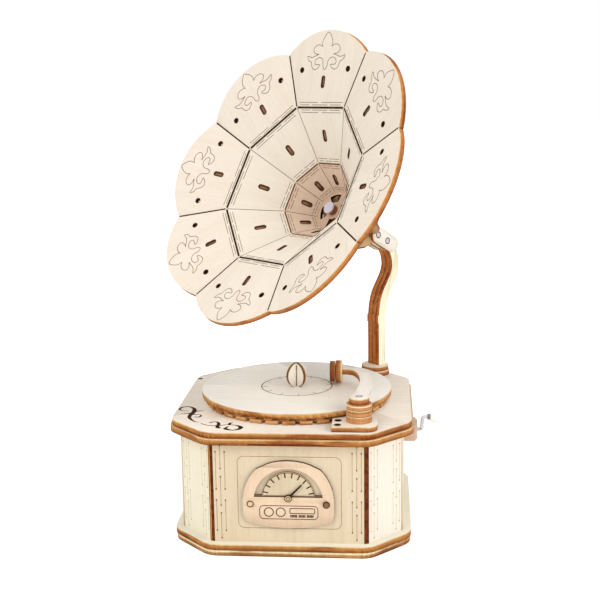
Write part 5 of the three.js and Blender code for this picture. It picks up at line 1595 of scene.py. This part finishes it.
@dataclass
class Horn:
    """Horn of eight staves: petals, bell and cone, joined along cut hinges, with ribs behind.

    A row of the profile is a corner's distance from the axis and its depth, throat first. Staves are
    numbered clockwise from the top, and a stave's panels are 0 for the cone, 1 for the bell and 2 for the
    petal. The lily is the right half of its outline on a petal.
    """

    centre: Triple = (-7.910, -0.664, 196.060)
    turn: float = 43.53
    tilt: float = 28.97
    staves: int = 8
    profile: tuple[Pair, ...] = ((12.77, 46.9), (24.27, 31.29), (50.83, 9.63), (81.73, 0.0))
    ply: float = 3.0
    rib_ply: float = 1.8
    slot_starts: tuple[float, ...] = (5.1, 13.4, 11.4)
    slot_length: float = 6.1
    slot_width: float = 2.3
    slot_reach_share: float = 0.66
    rim_gap: float = 0.1
    rim_over: float = 0.25
    rim_width: float = 0.55
    holes: tuple[Pair, ...] = ((-18.8, 21.4), (18.8, 21.4))
    hole_radius: float = 1.4
    hole_gap: float = 0.12
    hole_width: float = 0.42
    hole_reach: float = 2.2
    hole_points: int = 24
    hub_depth: float = 42.5
    cap_radius: float = 3.6
    cap_ply: float = 0.7
    cap_proud: float = 0.1
    window_angles: tuple[float, ...] = (15.0, 105.0, 195.0, 285.0)
    window_depth: float = 5.6
    window_away: float = 7.8
    window_reach: float = 4.4
    seam_points: int = 6
    seam_start_share: float = 0.02
    petal_seam_share: float = 0.985
    petal_seam_width: float = 0.85
    inner_seam_share: float = 0.98
    inner_seam_width: float = 0.3
    fold_inset: float = 0.7
    # Widths of the painted shade in the bell and cone folds.
    bell_fold_shade_width: float = 1.05
    cone_fold_shade_width: float = 0.7
    dash_steps: Pair = (1.5, 2.9)
    dash_inset: float = 0.8
    dash_width: float = 0.26
    near_dash_shares: tuple[Pair, ...] = ((-0.86, -0.48), (-0.36, 0.3), (0.42, 0.86))
    far_dash_shares: tuple[Pair, ...] = ((-0.9, -0.12), (0.04, 0.9))
    lily_width: float = 0.3
    lily_steps: int = 4
    lily: tuple[Pair, ...] = (
        (0.0, 42.3), (1.2, 41.6), (2.3, 40.4), (3.6, 38.4), (4.1, 36.6), (3.9, 35.2), (3.7, 34.3),
        (4.7, 34.9), (6.6, 35.4), (8.9, 35.0), (10.4, 33.6), (10.7, 32.0), (9.4, 30.7), (7.6, 30.2),
        (6.2, 30.0), (7.6, 29.6), (9.6, 28.9), (11.6, 28.4), (13.3, 28.7), (15.2, 29.2), (14.9, 27.9),
        (13.4, 26.4), (11.8, 25.7), (11.2, 24.2), (10.4, 22.5), (8.2, 21.4), (5.9, 22.2), (4.4, 23.9),
        (5.2, 24.2), (7.4, 24.2), (8.4, 24.8), (8.6, 26.2), (7.3, 27.6), (5.1, 28.2), (3.1, 27.4),
        (1.9, 25.6), (1.6, 23.1), (0.9, 21.9), (0.0, 21.4),
    )

    def axes(self) -> tuple[Array, Array, Array]:
        """Directions of the horn.

        Returns:
            To the right, up its face and out of its mouth.
        """
        turn, tilt = math.radians(self.turn), math.radians(self.tilt)
        level = math.cos(tilt)
        out = np.array([-math.sin(turn) * level, -math.cos(turn) * level, math.sin(tilt)])
        right = np.array([math.cos(turn), -math.sin(turn), 0.0])
        return right, np.cross(out, right), out

    def spoke(self, k: int) -> tuple[Array, Array, Array]:
        """Directions of a stave.

        Args:
            k: number of the stave.

        Returns:
            Away from the axis, sideways and out of the mouth.
        """
        right, up, out = self.axes()
        angle = math.tau * k / self.staves
        away = up * math.cos(angle) + right * math.sin(angle)
        side = right * math.cos(angle) - up * math.sin(angle)
        return away, side, out

    def folds(self) -> Array:
        """Folds of the horn at the middle of a stave.

        Returns:
            Rows of distance from the axis and depth, throat first.
        """
        table = np.array(self.profile)
        table[:, 0] *= math.cos(math.pi / self.staves)
        return table

    def panel_plane(self, k: int, part: int) -> Plane:
        """Plane of a stave's panel, which rises from its inner fold outwards.

        Args:
            k: number of the stave.
            part: number of the panel.

        Returns:
            The plane, with the middle of the fold as its origin.
        """
        away, side, out = self.spoke(k)
        (r0, d0), (r1, d1) = self.folds()[part : part + 2]
        slant = unit([r1 - r0, d1 - d0])
        origin = np.array(self.centre) + away * r0 - out * d0
        return Plane(tuple(origin), tuple(side), tuple(away * slant[0] - out * slant[1]))

    def planes(self, part: int) -> list[Plane]:
        """Planes of the same panel of all staves."""
        return [self.panel_plane(k, part) for k in range(self.staves)]

    def panel_length(self, part: int) -> float:
        """Slant length of a panel between its folds."""
        a, b = self.folds()[part : part + 2]
        return float(np.linalg.norm(b - a))

    def half_width(self, part: int, reach: float) -> float:
        """Half of a panel's width at a distance from its inner fold."""
        (r0, _), (r1, _) = self.folds()[part : part + 2]
        return (r0 + (r1 - r0) * reach / self.panel_length(part)) * math.tan(math.pi / self.staves)

    def build(self, bench: Bench) -> None:
        """Dress the staves and the ribs and draw the cuts.

        Args:
            bench: where the pieces go.
        """
        for k in range(self.staves):
            panels = []
            # The cone panels carry painted shade.
            for part, face in enumerate((CONE_FACE_SHADED, BELL_FACE, PETAL_FACE)):
                plane = self.panel_plane(k, part)
                out = plane.out()
                front = float(out @ np.array(plane.origin))
                panels.append(Panel(tuple(out), plane.rise, front, self.ply, face))
            cuts = self.inner_cuts(k)
            bench.sheet(f"horn_stave_{k + 1}", panels, PETAL_FACE, STAVE_EDGE, Wood.CREAM, cuts)
        ribs = []
        for away, side, _ in map(self.spoke, range(self.staves // 2)):
            face = float(side @ np.array(self.centre)) + self.rib_ply / 2
            ribs.append(Panel(tuple(side), tuple(away), face, self.rib_ply))
        bench.sheet("horn_ribs", ribs, TAN_FACE, RIB_EDGE, Wood.TAN)
        self.throat(bench)
        bench.draw("slot_rims", self.slot_rims(), SLOT_RIM)
        bench.draw("peg_hole_rims", self.hole_rims(), SLOT_RIM)
        bench.draw("petal_ornaments", self.ornaments(), LINE)
        petal_seams = self.seams((2,), self.petal_seam_share, self.petal_seam_width)
        bench.draw("petal_seams", petal_seams, CHAR_AND_SHADE, lift=0.1)
        # Painted shade in the creases of the bell and cone folds.
        bench.draw("bell_fold_shade", self.fold_shade_lines(2, self.bell_fold_shade_width), CHAR_AND_SHADE, lift=0.14)
        bench.draw("cone_fold_shade", self.fold_shade_lines(1, self.cone_fold_shade_width), SEAM, lift=0.14)
        bench.draw("hinge_dashes", self.dashes(), LINE)
        bell_seams = self.seams((0, 1), self.inner_seam_share, self.inner_seam_width)
        bench.draw("bell_seams", bell_seams, LINE, lift=0.08)

    def throat(self, bench: Bench) -> None:
        """Dress the throat plate, whose window walls take the charred finish as painted shade, and cap its
        hub.

        Args:
            bench: where the pieces go.
        """
        right, up, out = self.axes()
        # Painted shade: the walls of the four windows are dark.
        cuts = []
        for angle in np.radians(self.window_angles):
            away = right * math.cos(angle) + up * math.sin(angle)
            depth = self.hub_depth + self.window_depth
            window = np.array(self.centre) - out * depth + away * self.window_away
            cuts.append((*window.tolist(), self.window_reach))
        panel = Panel(tuple(out), tuple(right))
        bench.sheet("throat_plate", [panel], THROAT_FACE, RIB_EDGE, Wood.PALE, cuts)
        base = np.array(self.centre) - out * (self.hub_depth + self.cap_ply)
        height = self.cap_ply + self.cap_proud
        bench.disc("throat_cap", base, out, self.cap_radius, height, "base", CAP_WOOD)

    def inner_cuts(self, k: int) -> list[tuple[float, ...]]:
        """Middles and reaches of a stave's slots and peg holes.

        Args:
            k: number of the stave.

        Returns:
            Rows of place and reach.
        """
        spots = [
            (part, (0.0, start + self.slot_length / 2), self.slot_length * self.slot_reach_share)
            for part, start in enumerate(self.slot_starts)
        ]
        spots += [(2, hole, self.hole_reach) for hole in self.holes]
        made = []
        for part, spot, reach in spots:
            plane = self.panel_plane(k, part)
            inside = plane.place([spot])[0] - plane.out() * self.ply / 2
            made.append((*inside.tolist(), reach))
        return made

    def slot_rims(self) -> list[Stroke]:
        """Burnt rim round each slot: a rectangle with round ends, a little wider than the slot.

        Returns:
            The rims.
        """
        half = self.slot_width / 2 + self.rim_gap
        made = []
        for k in range(self.staves):
            for part, start in enumerate(self.slot_starts):
                end = start + self.slot_length + self.rim_over
                line = rounded_box(-half, start - self.rim_over, half, end, half - self.rim_gap / 2)
                made.append(self.panel_plane(k, part).stroke(line, self.rim_width, True))
        return made

    def hole_rims(self) -> list[Stroke]:
        """Burnt ring round each peg hole of the petals.

        Returns:
            The rims.
        """
        radius = self.hole_radius + self.hole_gap
        rings = [circle(radius, self.hole_points, hole) for hole in self.holes]
        return [plane.stroke(ring, self.hole_width, True) for plane in self.planes(2) for ring in rings]

    def ornaments(self) -> list[Stroke]:
        """Lily outline on each petal: the right half and its mirror image as one closed line.

        Returns:
            The lines.
        """
        half = np.array(self.lily)
        mirrored = half[-2:0:-1] * [-1.0, 1.0]
        line = curve(np.vstack([half, mirrored]), self.lily_steps, True)
        return [plane.stroke(line, self.lily_width, True) for plane in self.planes(2)]

    def seams(self, parts: tuple[int, ...], end: float, width: float) -> list[Stroke]:
        """Lines along the seams between each stave and the next one.

        Args:
            parts: panels beside which they run.
            end: share of the panel's length at which they end.
            width: their width.

        Returns:
            The lines.
        """
        made = []
        for k in range(self.staves):
            away, _, out = self.spoke(k)
            corner = unit(away + self.spoke(k + 1)[0])
            for part in parts:
                (r0, d0), (r1, d1) = self.folds()[part : part + 2]
                shares = np.linspace(self.seam_start_share, end, self.seam_points)[:, None]
                radius = (r0 + (r1 - r0) * shares) / math.cos(math.pi / self.staves)
                points = np.array(self.centre) + corner * radius - out * (d0 + (d1 - d0) * shares)
                facing = unit(self.panel_plane(k, part).out() + self.panel_plane(k + 1, part).out())
                made.append(Stroke(points, facing, width))
        return made

    def fold_shade_lines(self, part: int, width: float) -> list[Stroke]:
        """Painted shade: dark line along the crease at the inner fold of each panel of a kind.

        Args:
            part: number of the panel.
            width: width of the line.

        Returns:
            The lines, which face between the panel and the one inside it.
        """
        made = []
        reach = self.half_width(part, 0.0) - self.fold_inset
        for plane, below in zip(self.planes(part), self.planes(part - 1)):
            line = plane.place([[-reach, 0.0], [0.0, 0.0], [reach, 0.0]])
            made.append(Stroke(line, unit(plane.out() + below.out()), width))
        return made

    def dashes(self) -> list[Stroke]:
        """Two rows of short cuts on each side of every fold, whose ends are shares of the half width.

        Returns:
            The lines.
        """
        sides = [(0, 0.0, 1), (0, 1.0, -1), (1, 0.0, 1), (1, 1.0, -1), (2, 0.0, 1)]
        rows = list(zip(self.dash_steps, (self.near_dash_shares, self.far_dash_shares)))
        made = []
        for k in range(self.staves):
            for part, share, way in sides:
                plane = self.panel_plane(k, part)
                for step, spans in rows:
                    reach = share * self.panel_length(part) + way * step
                    half = self.half_width(part, reach) - self.dash_inset
                    lines = [[[a * half, reach], [b * half, reach]] for a, b in spans]
                    made += [plane.stroke(line, self.dash_width) for line in lines]
        return made


@dataclass
class Stand:
    """Stand of three layers with a curved neck, two cheeks and pins that hold the horn's tail."""

    horn: Horn = field(default_factory=Horn)
    pin_rim: float = 1.75
    rim_width: float = 0.55
    rim_points: int = 24

    def build(self, bench: Bench) -> None:
        """Dress the stand.

        Args:
            bench: where the pieces go.
        """
        right, rise, out = self.horn.axes()
        side_panel = Panel(tuple(right), UP)
        for node in ("stand_left", "stand_core", "stand_right"):
            bench.sheet(node, [side_panel], STAND_FACE, STAND_EDGE, Wood.TAN)
        for node in ("cheek_left", "cheek_right"):
            bench.sheet(node, [side_panel], WHITE_FACE, STAVE_EDGE, Wood.CREAM)
        rims = []
        for node in ("cheek_pin_front", "cheek_pin_rear"):
            bench.coat(node, CAP_WOOD)
            centre = middle(node)
            places = column(bench.nodes[node].data.vertices, "co", 3) / MM
            reach = np.abs((places - centre) @ right).max()
            for side in SIDES:
                plane = Plane(tuple(centre + right * side * reach), tuple(rise * side), tuple(out))
                ring = plane.place(circle(self.pin_rim, self.rim_points))
                rims.append(Stroke(ring, right * side, self.rim_width, True))
        bench.draw("cheek_pin_rims", rims, SLOT_RIM)
        for node in ("stand_foot_low", "stand_foot_high"):
            bench.sheet(node, [Panel(UP, RIGHT)], DECK_FACE, ARM_EDGE, Wood.TAN)


@dataclass(frozen=True)
class Lamp:
    """Square lamp that faces the object: place and side in metres, power in watts."""

    name: str
    place: Triple
    size: float
    power: float
    colour: Triple


@dataclass
class Studio:
    """Pale floor, soft lights and the camera: angles in degrees, floor and aim in metres."""

    yaw: float = 4.786
    pitch: float = 11.448
    roll: float = -0.83
    distance: float = 600.0
    focal: float = 63.67
    sensor: float = 36.0
    nearest: float = 0.01
    target: Triple = (2.525, 0.0, 126.01)
    floor_half: float = 6.0
    floor_grey: float = 0.9
    floor_roughness: float = 0.9
    shade_ends: Pair = (0.2, 1.2)
    shade_glow: Pair = (0.40, 1.0)
    world_glow: Pair = (0.60, 1.0)
    aim: Triple = (0.0, 0.0, 0.12)
    lamps: tuple[Lamp, ...] = (
        Lamp("key", (-0.75, -0.95, 1.05), 0.9, 9.0, (1.0, 0.985, 0.96)),
        Lamp("fill", (0.95, -0.75, 0.55), 0.9, 6.0, (1.0, 0.99, 0.975)),
        Lamp("top", (0.1, 0.25, 1.25), 0.9, 5.0, WHITE),
    )

    def build(self) -> None:
        """Build the floor, the world, the lights and the camera."""
        self.floor()
        self.world()
        for lamp in self.lamps:
            self.light(lamp)
        self.camera()
        bpy.context.scene.view_settings.view_transform = "Standard"

    def floor(self) -> None:
        """Large pale floor that shows white to the camera and still takes the shadow.

        Seen from the camera it glows, the more the further a point lies from the object.
        """
        mesh = bpy.data.meshes.new("floor")
        half = self.floor_half
        corners = [(x * half, y * half, 0.0) for x, y in ((-1, -1), (1, -1), (1, 1), (-1, 1))]
        mesh.from_pydata(corners, [], [(0, 1, 2, 3)])
        made = bpy.data.objects.new("floor", mesh)
        bpy.context.scene.collection.objects.link(made)
        shader = Shader("pale_floor")
        inputs = shader.bsdf.inputs
        inputs["Base Color"].default_value = (self.floor_grey, self.floor_grey, self.floor_grey, 1.0)
        inputs["Roughness"].default_value = self.floor_roughness
        inputs["Emission Color"].default_value = (*WHITE, 1.0)
        away = shader.node("ShaderNodeVectorMath", operation="LENGTH")
        shader.join(shader.place(), away.inputs[0])
        rise = shader.remap(away.outputs["Value"], self.shade_ends, self.shade_glow)
        seen = shader.node("ShaderNodeLightPath").outputs["Is Camera Ray"]
        shader.join(shader.work_out("MULTIPLY", seen, rise), inputs["Emission Strength"])
        mesh.materials.append(shader.material)
        made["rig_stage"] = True

    def world(self) -> None:
        """White backdrop for the camera and for reflections, softer light for the object."""
        made = bpy.data.worlds.new("studio")
        bpy.context.scene.world = made
        made.use_nodes = True
        nodes = Nodes(made.node_tree)
        back = nodes.tree.nodes["Background"]
        back.inputs["Color"].default_value = (*WHITE, 1.0)
        rays = nodes.node("ShaderNodeLightPath").outputs
        seen = nodes.work_out("MAXIMUM", rays["Is Camera Ray"], rays["Is Glossy Ray"])
        seen = nodes.work_out("MAXIMUM", seen, rays["Is Transmission Ray"])
        nodes.join(nodes.remap(seen, (0.0, 1.0), self.world_glow), back.inputs["Strength"])

    def light(self, lamp: Lamp) -> None:
        """Put a lamp into the scene and turn it to the object.

        Args:
            lamp: the lamp.
        """
        data = bpy.data.lights.new(lamp.name, "AREA")
        data.size = lamp.size
        data.energy = lamp.power
        data.color = lamp.colour
        made = bpy.data.objects.new(lamp.name, data)
        made.location = lamp.place
        aim = Vector(self.aim) - Vector(lamp.place)
        made.rotation_euler = aim.to_track_quat("-Z", "Y").to_euler()
        bpy.context.scene.collection.objects.link(made)

    def camera(self) -> None:
        """Camera at the fitted place: it looks along minus back, and roll turns it about that line."""
        yaw, pitch, roll = (math.radians(v) for v in (self.yaw, self.pitch, self.roll))
        level = math.cos(pitch)
        back = np.array([math.sin(yaw) * level, -math.cos(yaw) * level, math.sin(pitch)])
        right = np.array([math.cos(yaw), math.sin(yaw), 0.0])
        up = np.cross(back, right)
        data = bpy.data.cameras.new("camera")
        data.sensor_width = self.sensor
        data.sensor_height = self.sensor
        data.lens = self.focal
        data.clip_start = self.nearest
        made = bpy.data.objects.new("camera", data)
        bpy.context.scene.collection.objects.link(made)
        rows = np.eye(4)
        rows[:3, 0] = right * math.cos(roll) + up * math.sin(roll)
        rows[:3, 1] = up * math.cos(roll) - right * math.sin(roll)
        rows[:3, 2] = back
        rows[:3, 3] = (np.array(self.target) + back * self.distance) * MM
        made.matrix_world = Matrix(rows.tolist())
        bpy.context.scene.camera = made


def numbers(box: object) -> object:
    """Turn a box of vectors into plain lists of numbers."""
    return float(box) if isinstance(box, (int, float)) else [numbers(item) for item in box]


def main() -> None:
    """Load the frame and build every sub-assembly in order."""
    logging.basicConfig(level=logging.INFO, format="%(message)s")
    bench = Bench(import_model())
    packed = numbers(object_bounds())
    for part in (Case(), Dial(), Turntable(), ToneArm(), Crank(), Movement(), Horn(), Stand()):
        LOG.info("building %s", type(part).__name__)
        part.build(bench)
    Studio().build()
    bpy.context.view_layer.update()
    {"cad": packed, "visual": numbers(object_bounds())}


if __name__ == "__main__":
    main()
